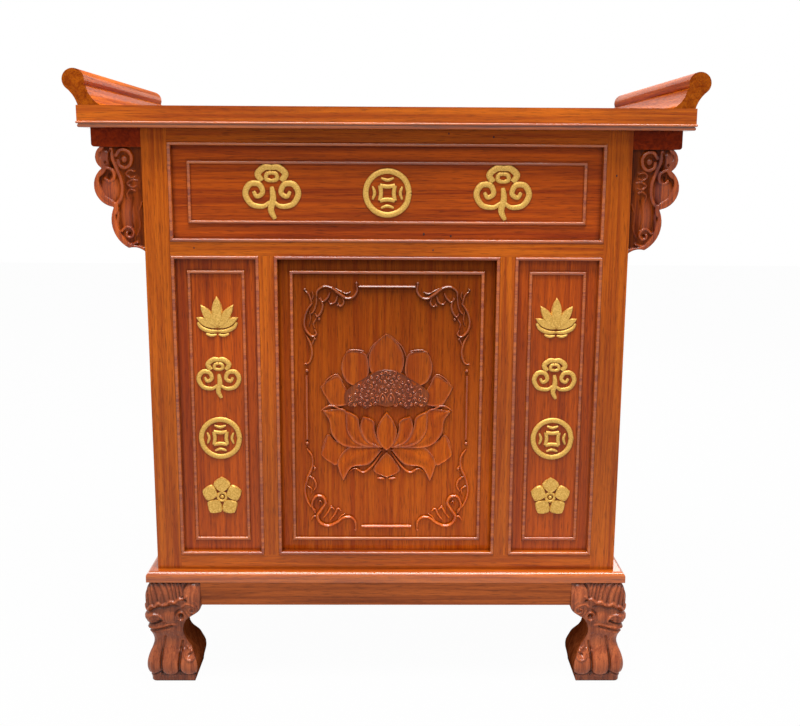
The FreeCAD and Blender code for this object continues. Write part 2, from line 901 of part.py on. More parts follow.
def leg_profile(place):
    """The sawn outline of a leg: its outer and inner curves and the straight shoulder."""
    def curve(points):
        spline = Part.BSplineCurve()
        spline.interpolate([place(p) for p in points])
        return spline.toShape()

    shoulder = (leg_inner[-1][0], leg_outer[0][1])
    edges = [
        curve(leg_outer),
        Part.makeLine(place(leg_outer[-1]), place(leg_inner[0])),
        curve(leg_inner),
        Part.makeLine(place(leg_inner[-1]), place(shoulder)),
        Part.makeLine(place(shoulder), place(leg_outer[0])),
    ]
    return Part.Face(Part.Wire(edges))


def legs_and_aprons():
    """Four sawn scroll legs with aprons tenoned between them."""
    half_x = side_face + plinth_projection + leg_proud
    half_y = front_face + plinth_projection + leg_proud
    stretch = leg_height / leg_outline_height
    widen = leg_shoulder / leg_outline_width
    reach = leg_shoulder + 2
    front = leg_profile(
        lambda p: Vector(-half_x + p[0] * widen, -half_y - 1, p[1] * stretch),
    ).extrude(Vector(0, reach, 0))
    side = leg_profile(
        lambda p: Vector(-half_x - 1, -half_y + p[0] * widen, p[1] * stretch),
    ).extrude(Vector(reach, 0, 0))
    leg = front.common(side)
    z0 = leg_height - apron_height

    def apron(half, face):
        length = half - leg_shoulder
        y0 = -face + apron_inset
        body = box(-length, length, y0, y0 + apron_thickness, z0, leg_height)
        middle = y0 + apron_thickness / 2
        tongue = (
            -length - apron_tenon_length,
            length + apron_tenon_length,
            middle - tenon_thickness / 2,
            middle + tenon_thickness / 2,
            z0 + tenon_shoulder,
            leg_height - tenon_shoulder,
        )
        return joined([body, box(*tongue)]), grown(tongue, tenon_gap, tenon_gap)

    front_apron, front_seat = apron(half_x, half_y)
    side_apron, side_seat = apron(half_y, half_x)
    leg = leg.cut([front_seat, turned(side_seat, -90)])
    save("leg_front_left", leg)
    save("leg_front_right", mirrored_x(leg))
    save("leg_rear_left", mirrored_y(leg))
    save("leg_rear_right", mirrored_y(mirrored_x(leg)))
    save("apron_front", front_apron)
    save("apron_rear", turned(front_apron, 180))
    save("apron_left", turned(side_apron, -90))
    save("apron_right", turned(side_apron, 90))


def bottom_board():
    """The floor of the money chamber, notched round the posts."""
    half_x = side_face - rail_thickness - bottom_board_gap
    half_y = front_face - rail_thickness - bottom_board_gap
    board = box(-half_x, half_x, -half_y, half_y, z_body, z_body + bottom_board_thickness)
    notches = []
    x_post = front_half - bottom_board_gap
    y_post = side_half - bottom_board_gap
    for sign_x in (-1, 1):
        for sign_y in (-1, 1):
            corner = box(x_post, side_face, y_post, front_face, z_body - 1, z_table)
            if sign_x < 0:
                corner = mirrored_x(corner)
            if sign_y < 0:
                corner = mirrored_y(corner)
            notches.append(corner)
    save("bottom_board", board.cut(notches))


# The door is drawn facing -Y with its hinges on the left, then turned to the back

def lock_drilling():
    """The hole for the lock's barrel in the lock stile."""
    start = Vector(lock_x, -front_face - 1, z_lower_middle)
    return cylinder(lock_barrel_radius + lock_running_gap, start, Y_AXIS, door_thickness + 2)


def knob_drilling():
    """The blind hole for the knob's stem."""
    start = Vector(lock_x, -front_face - 1, z_lower_middle + knob_above_lock)
    depth = knob_stem_length + lock_running_gap
    return cylinder(knob_stem_radius + lock_running_gap, start, Y_AXIS, depth + 1)


def back_door():
    """Two stiles, two rails and a panel."""
    z0 = z_lower_opening + door_gap
    z1 = z_middle_rail - door_gap
    y0 = -front_face
    y1 = -door_inner_y
    inner_half = door_half - door_stile_width
    middle = (y0 + y1) / 2
    panel_y0 = y0 + door_panel_setback
    panel_y1 = panel_y0 + panel_thickness
    field = (
        -inner_half - panel_tongue,
        inner_half + panel_tongue,
        panel_y0,
        panel_y1,
        z0 + door_stile_width - panel_tongue,
        z1 - door_stile_width + panel_tongue,
    )
    field_space = grown(field, groove_bottom_gap, groove_side_gap)
    rails = []
    seats = []
    for low, high in ((z0, z0 + door_stile_width), (z1 - door_stile_width, z1)):
        tongue = (
            -inner_half - tenon_length,
            inner_half + tenon_length,
            middle - tenon_thickness / 2 + 1,
            middle + tenon_thickness / 2 - 1,
            low + tenon_shoulder,
            high - tenon_shoulder,
        )
        body = box(-inner_half, inner_half, y0, y1, low, high)
        rails.append(joined([body, box(*tongue)]).cut(field_space))
        seats.append(grown(tongue, tenon_gap, tenon_gap))
    recesses = hinge_seats(-door_half - 1.0, -door_half + hinge_leaf_thickness)
    pilots = hinge_screws(-door_half, 1, screw_gap)
    hinge_stile = box(-door_half, -inner_half, y0, y1, z0, z1)
    hinge_stile = hinge_stile.cut(seats + [field_space] + recesses + pilots)
    lock_stile = box(inner_half, door_half, y0, y1, z0, z1)
    lock_stile = lock_stile.cut(seats + [field_space, lock_drilling(), knob_drilling()])
    members = [hinge_stile, lock_stile] + rails
    save("door_frame", *[turned(member, 180) for member in members])
    save("door_panel", turned(box(*field), 180))


def hinge_leaf(x_face, direction, z, own):
    """One leaf with its knuckles; own says which knuckles of the row belong to it."""
    thick = hinge_leaf_thickness
    x0, x1 = sorted((x_face, x_face + direction * thick))
    z0 = z - hinge_height / 2
    plate = box(x0, x1, -front_face, -front_face + hinge_leaf_width, z0, z0 + hinge_height)
    pitch = hinge_height / hinge_knuckles
    pieces = [plate]
    for i in range(hinge_knuckles):
        if i % 2 != own:
            continue
        low = z0 + i * pitch + hinge_knuckle_gap / 2
        high = z0 + (i + 1) * pitch - hinge_knuckle_gap / 2
        pieces.append(box(x0, x1, -hinge_y, -front_face, low, high))
        pieces.append(cylinder(hinge_knuckle_radius, Vector(-hinge_x, -hinge_y, low), Z_AXIS, high - low))
    start = Vector(-hinge_x, -hinge_y, z0 - 1)
    bore = cylinder(hinge_pin_radius + hinge_pin_gap, start, Z_AXIS, hinge_height + 2)
    return joined(pieces).cut(bore)


def hinges():
    """Two butt hinges: fixed leaves with their pins, door leaves, and the screws of each."""
    fixed = []
    moving = []
    screws_fixed = hinge_screws(-mullion_inner, -1)
    screws_moving = hinge_screws(-door_half, 1)
    for z in hinge_levels():
        frame_leaf = hinge_leaf(-mullion_inner, -1, z, 0)
        door_leaf = hinge_leaf(-door_half, 1, z, 1)
        fixed.append(frame_leaf.cut(hinge_screws(-mullion_inner, -1, screw_gap)))
        moving.append(door_leaf.cut(hinge_screws(-door_half, 1, screw_gap)))
        start = Vector(-hinge_x, -hinge_y, z - hinge_height / 2)
        fixed.append(cylinder(hinge_pin_radius, start, Z_AXIS, hinge_height))
    save("hinge_frame_leaves", *[turned(piece, 180) for piece in fixed])
    save("hinge_door_leaves", *[turned(piece, 180) for piece in moving])
    save("hinge_screws_frame", *[turned(piece, 180) for piece in screws_fixed])
    save("hinge_screws_door", *[turned(piece, 180) for piece in screws_moving])


def lock_and_knob():
    """The cam lock's barrel and nut, its turning plug with the cam, and the pull knob."""
    z = z_lower_middle
    front = -front_face
    cam_front = -lip_inner_y + lock_cam_clearance
    barrel_length = cam_front - front - 0.5
    plug_front = front - lock_bezel_thickness
    barrel = joined([
        cylinder(lock_bezel_radius, Vector(lock_x, plug_front, z), Y_AXIS, lock_bezel_thickness),
        cylinder(lock_barrel_radius, Vector(lock_x, front, z), Y_AXIS, barrel_length),
    ])
    bore_radius = lock_plug_radius + lock_running_gap
    bore = cylinder(bore_radius, Vector(lock_x, plug_front - 1, z), Y_AXIS, barrel_length + 10)
    radius = lock_nut_width / math.sqrt(3)
    corners = [polar(radius, 60 * i) for i in range(6)]
    nut = slab(
        corners,
        lambda p: Vector(lock_x + p[0], -door_inner_y, z + p[1]),
        Vector(0, lock_nut_thickness, 0),
    ).cut(cylinder(lock_barrel_radius + lock_running_gap, Vector(lock_x, front, z), Y_AXIS, rail_thickness))
    save("lock_body", turned(barrel.cut(bore), 180), turned(nut, 180))

    plug = cylinder(lock_plug_radius, Vector(lock_x, plug_front, z), Y_AXIS, cam_front - plug_front)
    half = lock_cam_width / 2
    tip = -lock_cam_length
    cam = slab(
        [(-half, 0), (-half, tip), (half, tip), (half, 0), ((0, half), (-half, 0))],
        lambda p: Vector(lock_x + p[0], cam_front, z + p[1]),
        Vector(0, lock_cam_thickness, 0),
    )
    keyway = box(
        lock_x - keyway_width / 2,
        lock_x + keyway_width / 2,
        plug_front - 1,
        plug_front + keyway_depth,
        z - keyway_length / 2,
        z + keyway_length / 2,
    )
    save("lock_plug", turned(joined([plug, cam]).cut(keyway), 180))

    z_knob = z + knob_above_lock
    head = knob_projection - knob_radius
    knob = joined([
        Part.makeSphere(knob_radius, Vector(lock_x, front - head, z_knob)),
        cylinder(knob_neck_radius, Vector(lock_x, front - head, z_knob), Y_AXIS, head),
        cylinder(knob_stem_radius, Vector(lock_x, front, z_knob), Y_AXIS, knob_stem_length),
    ])
    save("door_knob", turned(knob, 180))


def main():
    """Writes every sub-part."""
    os.makedirs("parts", exist_ok=True)
    posts()
    front_frame()
    side_frames()
    rear_frame()
    front_panels()
    beads()
    gilt_ornaments()
    table_board()
    end_flanges()
    bearers_and_brackets()
    plinth()
    legs_and_aprons()
    bottom_board()
    back_door()
    hinges()
    lock_and_knob()


main()
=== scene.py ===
# %% [markdown]
# # A carved merit box
#
# The object is a donation chest for a temple hall, made like a small altar table in glossy
# red hardwood. The imported model already holds every board, rail, hinge and lock at its real
# size. This lesson gives those pieces their varnish, and models what a carver adds: the lotus
# board, the cloud brackets, the lion-mask legs, the gilt ornaments and the brads.
#
# First the imported model is loaded. It is the frame that everything else is fitted to.

# %% Load the imported model
import math

import bpy
import numpy as np
from mathutils import Matrix, Vector


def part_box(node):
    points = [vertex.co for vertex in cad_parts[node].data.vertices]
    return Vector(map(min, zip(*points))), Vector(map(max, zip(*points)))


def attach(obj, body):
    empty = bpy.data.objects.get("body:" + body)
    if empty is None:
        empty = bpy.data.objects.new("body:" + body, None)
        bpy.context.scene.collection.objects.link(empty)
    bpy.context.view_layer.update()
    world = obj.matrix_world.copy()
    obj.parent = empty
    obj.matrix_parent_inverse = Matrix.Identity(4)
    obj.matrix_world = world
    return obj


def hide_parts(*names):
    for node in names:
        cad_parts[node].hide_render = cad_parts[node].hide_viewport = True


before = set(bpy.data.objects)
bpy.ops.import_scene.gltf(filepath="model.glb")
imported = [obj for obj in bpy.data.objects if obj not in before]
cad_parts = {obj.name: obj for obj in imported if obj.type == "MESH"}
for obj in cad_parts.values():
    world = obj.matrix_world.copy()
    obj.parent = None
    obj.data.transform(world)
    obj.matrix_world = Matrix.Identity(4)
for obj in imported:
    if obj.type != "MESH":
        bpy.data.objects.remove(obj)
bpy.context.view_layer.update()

MM = 0.001

# %% [markdown]
# ## The camera
#
# The photograph was taken from in front, a little above the middle of the box and tipped
# down by ten degrees. The straight edges of the table and posts fix the place and the lens,
# so the camera is set from those numbers and not by eye.

# %% Camera
CAMERA_PLACE = (0.00546, -1.82611, 0.91924)
CAMERA_PITCH = 0.1755
CAMERA_TURN = -0.0105
CAMERA_ROLL = 0.0055
LENS = 42.72
SHIFT_Y = -0.0382

bpy.ops.object.camera_add(location=CAMERA_PLACE)
camera = bpy.context.object
camera.name = "photo_camera"
camera.data.lens = LENS
camera.data.sensor_width = 36.0
camera.data.shift_y = SHIFT_Y
aim = (
    Matrix.Rotation(CAMERA_TURN, 4, "Z")
    @ Matrix.Rotation(math.pi / 2 - CAMERA_PITCH, 4, "X")
    @ Matrix.Rotation(CAMERA_ROLL, 4, "Z")
)
camera.rotation_euler = aim.to_euler()
bpy.context.scene.camera = camera
bpy.context.scene.view_settings.view_transform = "Standard"
print("lens", LENS, "mm")

# %% [markdown]
# ## Floor, background and lights
#
# A product photograph has a white background and broad, soft light. The floor and the world
# are white to the camera and to reflections, while the light on the box stays at a plain
# level. A wide panel overhead gives the shade under the table board and the bright lines on
# the beads, and a weaker one fills from the front. Both hang too high to be mirrored in the
# flat boards. A third lights the back, so that the door can be seen in other views.


# %% Helpers for node trees
def new_node(tree, kind, inputs=None, **settings):
    """A node with its settings and some of its input values."""
    made = tree.nodes.new(kind)
    for key, value in settings.items():
        setattr(made, key, value)
    for key, value in (inputs or {}).items():
        made.inputs[key].default_value = value
    return made


def sight_rays(tree):
    """1 for camera, glossy and transmission rays, and 0 for the rays that carry light."""
    path = new_node(tree, "ShaderNodeLightPath")
    first = new_node(tree, "ShaderNodeMath", operation="MAXIMUM")
    second = new_node(tree, "ShaderNodeMath", operation="MAXIMUM")
    tree.links.new(path.outputs["Is Camera Ray"], first.inputs[0])
    tree.links.new(path.outputs["Is Glossy Ray"], first.inputs[1])
    tree.links.new(first.outputs[0], second.inputs[0])
    tree.links.new(path.outputs["Is Transmission Ray"], second.inputs[1])
    return second.outputs[0]


WHITE = (1, 1, 1, 1)
print("node helpers ready")

# %% World
AMBIENT = 0.30

world = bpy.data.worlds.new("white_studio")
bpy.context.scene.world = world
world.use_nodes = True
tree = world.node_tree
tree.nodes.clear()
ambient = new_node(tree, "ShaderNodeBackground", {"Color": WHITE, "Strength": AMBIENT})
white = new_node(tree, "ShaderNodeBackground", {"Color": WHITE, "Strength": 1.0})
blend = new_node(tree, "ShaderNodeMixShader")
result = new_node(tree, "ShaderNodeOutputWorld")
tree.links.new(sight_rays(tree), blend.inputs["Fac"])
tree.links.new(ambient.outputs[0], blend.inputs[1])
tree.links.new(white.outputs[0], blend.inputs[2])
tree.links.new(blend.outputs[0], result.inputs["Surface"])
print("ambient light", AMBIENT)

# %% Floor
FLOOR_SIZE = 14.0
FLOOR_GLOW = 0.975
FLOOR_GREY = (0.5, 0.5, 0.5, 1)

bpy.ops.object.select_all(action="DESELECT")
bpy.ops.mesh.primitive_plane_add(size=FLOOR_SIZE, location=(0, 0, 0))
floor = bpy.context.object
floor.name = "studio_floor"
paint = bpy.data.materials.new("white_floor")
paint.use_nodes = True
tree = paint.node_tree
tree.nodes.clear()
matt = new_node(tree, "ShaderNodeBsdfDiffuse", {"Color": FLOOR_GREY})
glow = new_node(tree, "ShaderNodeEmission", {"Color": WHITE, "Strength": 1.0})
share = new_node(tree, "ShaderNodeMath", {1: FLOOR_GLOW}, operation="MULTIPLY")
blend = new_node(tree, "ShaderNodeMixShader")
result = new_node(tree, "ShaderNodeOutputMaterial")
tree.links.new(sight_rays(tree), share.inputs[0])
tree.links.new(share.outputs[0], blend.inputs["Fac"])
tree.links.new(matt.outputs[0], blend.inputs[1])
tree.links.new(glow.outputs[0], blend.inputs[2])
tree.links.new(blend.outputs[0], result.inputs["Surface"])
floor.data.materials.append(paint)
print("floor", FLOOR_SIZE, "m")

# %% Lights
LAMPS = {
    # where it hangs, what it points at, its width and height, and its power in watts
    "overhead_panel": ((0.0, -1.2, 4.2), (0.0, -0.2, 0.6), 3.5, 1.6, 240),
    "front_panel": ((-0.2, -2.6, 2.9), (0.0, -0.1, 0.6), 2.0, 0.9, 24),
    "back_panel": ((0.8, 2.6, 1.9), (0.0, 0.0, 0.6), 2.0, 1.6, 34),
}

for name, (place, target, width, height, power) in LAMPS.items():
    bpy.ops.object.light_add(type="AREA", location=place)
    lamp = bpy.context.object
    lamp.name = name
    lamp.data.shape = "RECTANGLE"
    lamp.data.size = width
    lamp.data.size_y = height
    lamp.data.energy = power
    lamp.rotation_euler = (Vector(target) - Vector(place)).to_track_quat("-Z", "Y").to_euler()
print("lamps", list(LAMPS))

# %% [markdown]
# ## Varnished wood
#
# Every wooden part has the same build-up: long growth bands along the board, short dark
# pores, a slow change of tone from board to board, painted shade that darkens the corners,
# and a clear glossy varnish on top. Only the colours and the direction of the grain differ, so one
# function makes them all. The grain is read from Object coordinates and stretched along one
# axis, so that boards that lie side by side don't repeat each other.

# %% Colours, patterns and levels
def colour(red, green, blue):
    """A linear colour from the 0 to 255 numbers of a paint chart."""
    return tuple(((c / 255 + 0.055) / 1.055) ** 2.4 if c > 10 else c / 255 / 12.92
                 for c in (red, green, blue)) + (1.0,)


def noise(tree, vector, scale, detail, roughness=0.5, distortion=0.0):
    """A noise pattern from 0 to 1 over some coordinates."""
    pattern = new_node(tree, "ShaderNodeTexNoise", {"Scale": scale, "Detail": detail,
                                                    "Roughness": roughness, "Distortion": distortion})
    tree.links.new(vector, pattern.inputs["Vector"])
    return pattern.outputs["Fac"]


def ranged(tree, value, start, end, before, after):
    """A value carried from one range to another, and held at its ends."""
    level = new_node(tree, "ShaderNodeMapRange", {"From Min": start, "From Max": end,
                                                  "To Min": before, "To Max": after})
    tree.links.new(value, level.inputs["Value"])
    return level.outputs[0]


def maths(tree, operation, *values):
    """One sum of linked outputs and plain numbers."""
    made = new_node(tree, "ShaderNodeMath", operation=operation)
    for socket, value in zip(made.inputs, values):
        if isinstance(value, (int, float)):
            socket.default_value = value
        else:
            tree.links.new(value, socket)
    return made.outputs[0]


def two_tone(tree, pattern, dark, light, start, end):
    """A colour that goes from dark to light with a pattern."""
    ramp = new_node(tree, "ShaderNodeValToRGB")
    for element, position, tone in zip(ramp.color_ramp.elements, (start, end), (dark, light)):
        element.position = position
        element.color = tone
    tree.links.new(pattern, ramp.inputs["Fac"])
    return ramp.outputs["Color"]


def relief(tree, height, strength, distance):
    """A normal that leans with a height."""
    bump = new_node(tree, "ShaderNodeBump", {"Strength": strength, "Distance": distance})
    tree.links.new(height, bump.inputs["Height"])
    return bump.outputs["Normal"]


print("pattern helpers ready")


# %% Grain directions
def stretched(tree, source, across, along, axis):
    """Object coordinates squeezed so that a pattern runs along one axis."""
    scale = [across, across, across]
    scale["XYZ".index(axis)] = along
    mapping = new_node(tree, "ShaderNodeMapping", {"Scale": scale})
    tree.links.new(source, mapping.inputs["Vector"])
    return mapping.outputs["Vector"]


def side_mask(tree, source, less_y, limit):
    """1 where |x| - less_y * |y| is over a limit: the members that lie across the others."""
    parts = new_node(tree, "ShaderNodeSeparateXYZ")
    tree.links.new(source, parts.inputs[0])
    wide = maths(tree, "ABSOLUTE", parts.outputs["X"])
    deep = maths(tree, "ABSOLUTE", parts.outputs["Y"])
    rest = maths(tree, "SUBTRACT", wide, maths(tree, "MULTIPLY", deep, less_y))
    return maths(tree, "GREATER_THAN", rest, limit)


def grain(tree, source, across, along, axis, turn):
    """Coordinates along the grain, which runs the other way where the members turn."""
    first = stretched(tree, source, across, along, axis)
    if not turn:
        return first
    less_y, limit, other_axis = turn
    second = stretched(tree, source, across, along, other_axis)
    either = new_node(tree, "ShaderNodeMix", data_type="VECTOR")
    tree.links.new(side_mask(tree, source, less_y, limit), either.inputs["Factor"])
    tree.links.new(first, either.inputs[4])
    tree.links.new(second, either.inputs[5])
    return either.outputs[1]


def level_between(tree, source, axis, start, end, before, after):
    """A number that goes from one value to another along an axis, away from its middle."""
    parts = new_node(tree, "ShaderNodeSeparateXYZ")
    tree.links.new(source, parts.inputs[0])
    return ranged(tree, maths(tree, "ABSOLUTE", parts.outputs[axis]), start, end, before, after)


print("grain helpers ready")

# %% Wood material
BAND_ACROSS = 115.0
BAND_ALONG = 2.6
PORE_ACROSS = 900.0
PORE_ALONG = 40.0
PORE_SHADE = 0.52
TONE_SCALE = 3.1
TONE_SPREAD = 0.16
# painted shade: ambient occlusion darkens the colour near corners and steps, within these reaches and
# down to this share
CORNER_SHADE_REACH = 0.010
CARVED_SHADE_REACH = 0.006
CORNER_SHADE = 0.38
# painted shade and light on carving: cuts are darkened to the first share and raised faces lightened to
# the second
CUT_SHADE = 0.3
FACE_SHADE = 1.12
SWELL_SCALE = 28.0


def wood(name, dark, light, axis, turn=None, coat=0.3, roughness=0.42, carved=False,
         gleam=0.1, shade_by=None, coat_by=None, coat_gloss=0.09, coat_ior=1.45):
    """Varnished hardwood with its grain along an axis.

    turn is (less_y, limit, axis): beyond that mask the grain runs along the other axis.
    shade_by and coat_by are (axis, start, end, before, after): a change of tone or of
    varnish along the piece; the change of tone is the flange's darker end grain, and painted
    shade and light on the lotus board. A carved piece is also darkened by its own attribute
    "surface", which is low in the cuts, as painted shade, and varnished by its attribute "polish".
    """
    material = bpy.data.materials.new(name)
    material.use_nodes = True
    tree = material.node_tree
    link = tree.links.new
    shader = tree.nodes["Principled BSDF"]
    source = new_node(tree, "ShaderNodeTexCoord").outputs["Object"]

    bands = noise(tree, grain(tree, source, BAND_ACROSS, BAND_ALONG, axis, turn), 1.0, 5.0, 0.6, 0.9)
    pores = noise(tree, grain(tree, source, PORE_ACROSS, PORE_ALONG, axis, turn), 1.0, 2.0, 0.5, 0.3)
    pore_level = ranged(tree, pores, 0.32, 0.46, PORE_SHADE, 1.0)
    tone = noise(tree, source, TONE_SCALE, 1.5)
    # painted shade: ambient occlusion darkens the colour in corners and beside steps
    reach = CARVED_SHADE_REACH if carved else CORNER_SHADE_REACH
    corner = new_node(tree, "ShaderNodeAmbientOcclusion", {"Distance": reach}, samples=8)
    levels = [ranged(tree, corner.outputs["AO"], 0.25, 0.85, CORNER_SHADE, 1.0), pore_level,
              ranged(tree, tone, 0.3, 0.7, 1 - TONE_SPREAD, 1 + TONE_SPREAD)]
    if shade_by:
        levels.append(level_between(tree, source, *shade_by))
    # painted shade: the cuts of a carving are darkened by its attribute
    if carved:
        surface = new_node(tree, "ShaderNodeAttribute", attribute_name="surface")
        levels.append(ranged(tree, surface.outputs["Fac"], 0.0, 1.0, CUT_SHADE, FACE_SHADE))
    shade = levels[0]
    for level in levels[1:]:
        shade = maths(tree, "MULTIPLY", shade, level)
    tinted = new_node(tree, "ShaderNodeVectorMath", operation="SCALE")
    link(two_tone(tree, bands, dark, light, 0.36, 0.62), tinted.inputs[0])
    link(shade, tinted.inputs["Scale"])
    link(tinted.outputs[0], shader.inputs["Base Color"])

    link(ranged(tree, bands, 0.0, 1.0, roughness - 0.06, roughness + 0.12), shader.inputs["Roughness"])
    rise = maths(tree, "MULTIPLY", pore_level, noise(tree, source, SWELL_SCALE, 2.0))
    link(relief(tree, rise, 0.14, 0.0012), shader.inputs["Normal"])
    shader.inputs["Specular IOR Level"].default_value = gleam
    shader.inputs["Coat Weight"].default_value = coat
    if coat_by:
        link(level_between(tree, source, *coat_by), shader.inputs["Coat Weight"])
    if carved:
        polish = new_node(tree, "ShaderNodeAttribute", attribute_name="polish")
        link(maths(tree, "MULTIPLY", polish.outputs["Fac"], coat), shader.inputs["Coat Weight"])
    shader.inputs["Coat Roughness"].default_value = coat_gloss
    shader.inputs["Coat IOR"].default_value = coat_ior
    print("made", name)
    return material


# %% The woods of the box
RED_DARK = colour(152, 61, 3)
RED_LIGHT = colour(196, 96, 12)
PANEL_DARK = colour(142, 50, 2)
PANEL_LIGHT = colour(188, 80, 6)
LOTUS_DARK = colour(160, 62, 4)
LOTUS_LIGHT = colour(190, 88, 9)
BRACKET_DARK = colour(116, 34, 4)
BRACKET_LIGHT = colour(186, 80, 6)
LEG_DARK = colour(128, 56, 24)
LEG_LIGHT = colour(176, 90, 46)
# painted shade: the apron and base colours are darker for the shade under the plinth's overhang
SHADED_BASE_DARK = colour(126, 55, 14)
SHADED_BASE_LIGHT = colour(168, 82, 28)
# painted shade: the bearers under the table board have darker colours for the shade there
SHADED_BEARER_DARK = colour(116, 31, 3)
SHADED_BEARER_LIGHT = colour(152, 48, 8)
RAW_DARK = colour(176, 132, 88)
RAW_LIGHT = colour(206, 168, 120)
PLINTH_CORNER = 0.175
DOOR_STILE_EDGE = 0.1395
TABLE_BEAD = 0.9852
FLANGE_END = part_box("end_flange_left")[1].y
LACQUER = {"coat": 1.0, "coat_gloss": 0.07, "coat_ior": 1.6}
# each change along a piece: the axis, where it starts and ends, the level before and after
THIN_AT_TOP = ("Z", 0.25, 0.95, 0.45, 0.08)
BEAD_ALONE = ("Z", TABLE_BEAD, TABLE_BEAD + 0.0006, 1.0, 0.15)
END_GRAIN = ("Y", FLANGE_END - 0.0009, FLANGE_END - 0.0003, 1.0, 0.72)
# painted shade and light: the lotus board is lighter towards its bottom and darker towards its top
SHADED_TOP = ("Z", 0.34, 0.70, 1.22, 0.50)

woods = {
    "frame_x": wood("frame_wood_long", RED_DARK, RED_LIGHT, "X", coat_by=THIN_AT_TOP),
    "table": wood("table_wood", RED_DARK, RED_LIGHT, "X", coat_ior=1.6, coat_by=BEAD_ALONE),
    "frame_y": wood("frame_wood_deep", RED_DARK, RED_LIGHT, "Y"),
    "frame_z": wood("frame_wood_upright", RED_DARK, RED_LIGHT, "Z", coat_by=THIN_AT_TOP),
    "plinth": wood("plinth_wood", RED_DARK, RED_LIGHT, "X", (1.0, PLINTH_CORNER, "Y"), **LACQUER),
    "apron_x": wood("apron_wood_long", SHADED_BASE_DARK, SHADED_BASE_LIGHT, "X"),
    "apron_y": wood("apron_wood_deep", SHADED_BASE_DARK, SHADED_BASE_LIGHT, "Y"),
    "door": wood("door_frame_wood", RED_DARK, RED_LIGHT, "X", (0.0, DOOR_STILE_EDGE, "Z")),
    "panel_x": wood("panel_wood_long", PANEL_DARK, PANEL_LIGHT, "X", coat_by=THIN_AT_TOP),
    "panel_z": wood("panel_wood_upright", PANEL_DARK, PANEL_LIGHT, "Z", coat_by=THIN_AT_TOP),
    "bead": wood("bead_wood", PANEL_DARK, RED_LIGHT, "X", roughness=0.34, **LACQUER),
    "flange": wood("flange_wood", RED_DARK, RED_LIGHT, "Y", coat=0.12, gleam=0.0, shade_by=END_GRAIN),
    "shade": wood("bearer_wood", SHADED_BEARER_DARK, SHADED_BEARER_LIGHT, "Y", coat=0.06, gleam=0.03),
    "bracket": wood("bracket_wood", BRACKET_DARK, BRACKET_LIGHT, "Z", carved=True, gleam=0.05,
                    **LACQUER),
    "lotus": wood("lotus_wood", LOTUS_DARK, LOTUS_LIGHT, "Z", carved=True, gleam=0.05,
                  shade_by=SHADED_TOP, **LACQUER),
    "leg": wood("leg_wood", LEG_DARK, LEG_LIGHT, "Z", coat=0.8, coat_gloss=0.12, roughness=0.45,
                gleam=0.0, carved=True),
    "raw": wood("floor_board_wood", RAW_DARK, RAW_LIGHT, "X", coat=0.0, roughness=0.6),
}

# %% [markdown]
# ## Metals and gilding
#
# The gilding is gold paint over carved wood: it is warm, a little rough and speckled, and only
# half metallic. The hinges and knob are polished brass, the lock is chrome and the brads are
# dark iron. Their roughness is broken up by a fine noise, as handled metal is.


# %% Metal material
def metal(name, dark, light, metallic, smooth, rough, speckle, grit):
    """A metal or metal paint with uneven polish and a fine surface grit."""
    material = bpy.data.materials.new(name)
    material.use_nodes = True
    tree = material.node_tree
    link = tree.links.new
    shader = tree.nodes["Principled BSDF"]
    source = new_node(tree, "ShaderNodeTexCoord").outputs["Object"]
    spots = noise(tree, source, speckle, 4.0, 0.6)
    link(two_tone(tree, spots, dark, light, 0.35, 0.65), shader.inputs["Base Color"])
    link(ranged(tree, spots, 0.0, 1.0, smooth, rough), shader.inputs["Roughness"])
    link(relief(tree, spots, grit, 0.0006), shader.inputs["Normal"])
    shader.inputs["Metallic"].default_value = metallic
    print("made", name)
    return material


# %% The metals of the box
GOLD = (colour(190, 140, 50), colour(236, 190, 100))
BRASS = (colour(176, 134, 62), colour(208, 170, 96))
IRON = (colour(44, 12, 4), colour(70, 24, 10))
CHROME = (colour(196, 197, 200), colour(222, 223, 226))

gilding = metal("gold_paint", *GOLD, metallic=0.45, smooth=0.28, rough=0.55, speckle=520.0, grit=0.3)
brass = metal("hinge_brass", *BRASS, metallic=1.0, smooth=0.18, rough=0.38, speckle=240.0, grit=0.08)
iron = metal("brad_iron", *IRON, metallic=0.3, smooth=0.5, rough=0.7, speckle=900.0, grit=0.1)
chrome = metal("lock_chrome", *CHROME, metallic=1.0, smooth=0.08, rough=0.2, speckle=200.0, grit=0.04)

# %% [markdown]
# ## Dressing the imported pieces
#
# The boards, rails and fittings keep their own shapes. Each gets a metal, or the wood whose
# grain runs along it: upright for posts and narrow panels, lengthwise for rails and boards.
# The blanks that are carved later get their wood too.


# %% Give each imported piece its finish
def dress(material, *names):
    """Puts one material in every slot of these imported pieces."""
    for name in names:
        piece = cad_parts[name]
        for slot in piece.material_slots:
            slot.material = material


SIDES = ("left", "right")
ENDS = ("front", "rear")
corners = [f"{end}_{side}" for end in ENDS for side in SIDES]

dress(woods["table"], "top_board")
dress(woods["frame_x"], "front_top_rail", "front_middle_rail", "front_bottom_rail",
      "rear_top_board", "rear_bottom_rail")
dress(woods["apron_x"], "apron_front", "apron_rear")
dress(woods["apron_y"], "apron_left", "apron_right")
dress(woods["frame_z"], "front_mullion_left", "front_mullion_right", "rear_upright_hinge",
      "rear_upright_lock", *[f"post_{corner}" for corner in corners])
dress(woods["frame_y"], *[f"{part}_{side}" for side in SIDES
                          for part in ("side_top_rail", "side_bottom_rail")])
dress(woods["panel_x"], "frieze_panel")
dress(woods["panel_z"], "door_panel", *[f"{part}_{side}" for side in SIDES
                                        for part in ("front_panel", "side_panel", "rear_panel")])
dress(woods["bead"], "front_opening_beads", "front_panel_beads", "side_opening_beads")
dress(woods["flange"], "end_flange_left", "end_flange_right")
dress(woods["shade"], "bearer_left", "bearer_right")
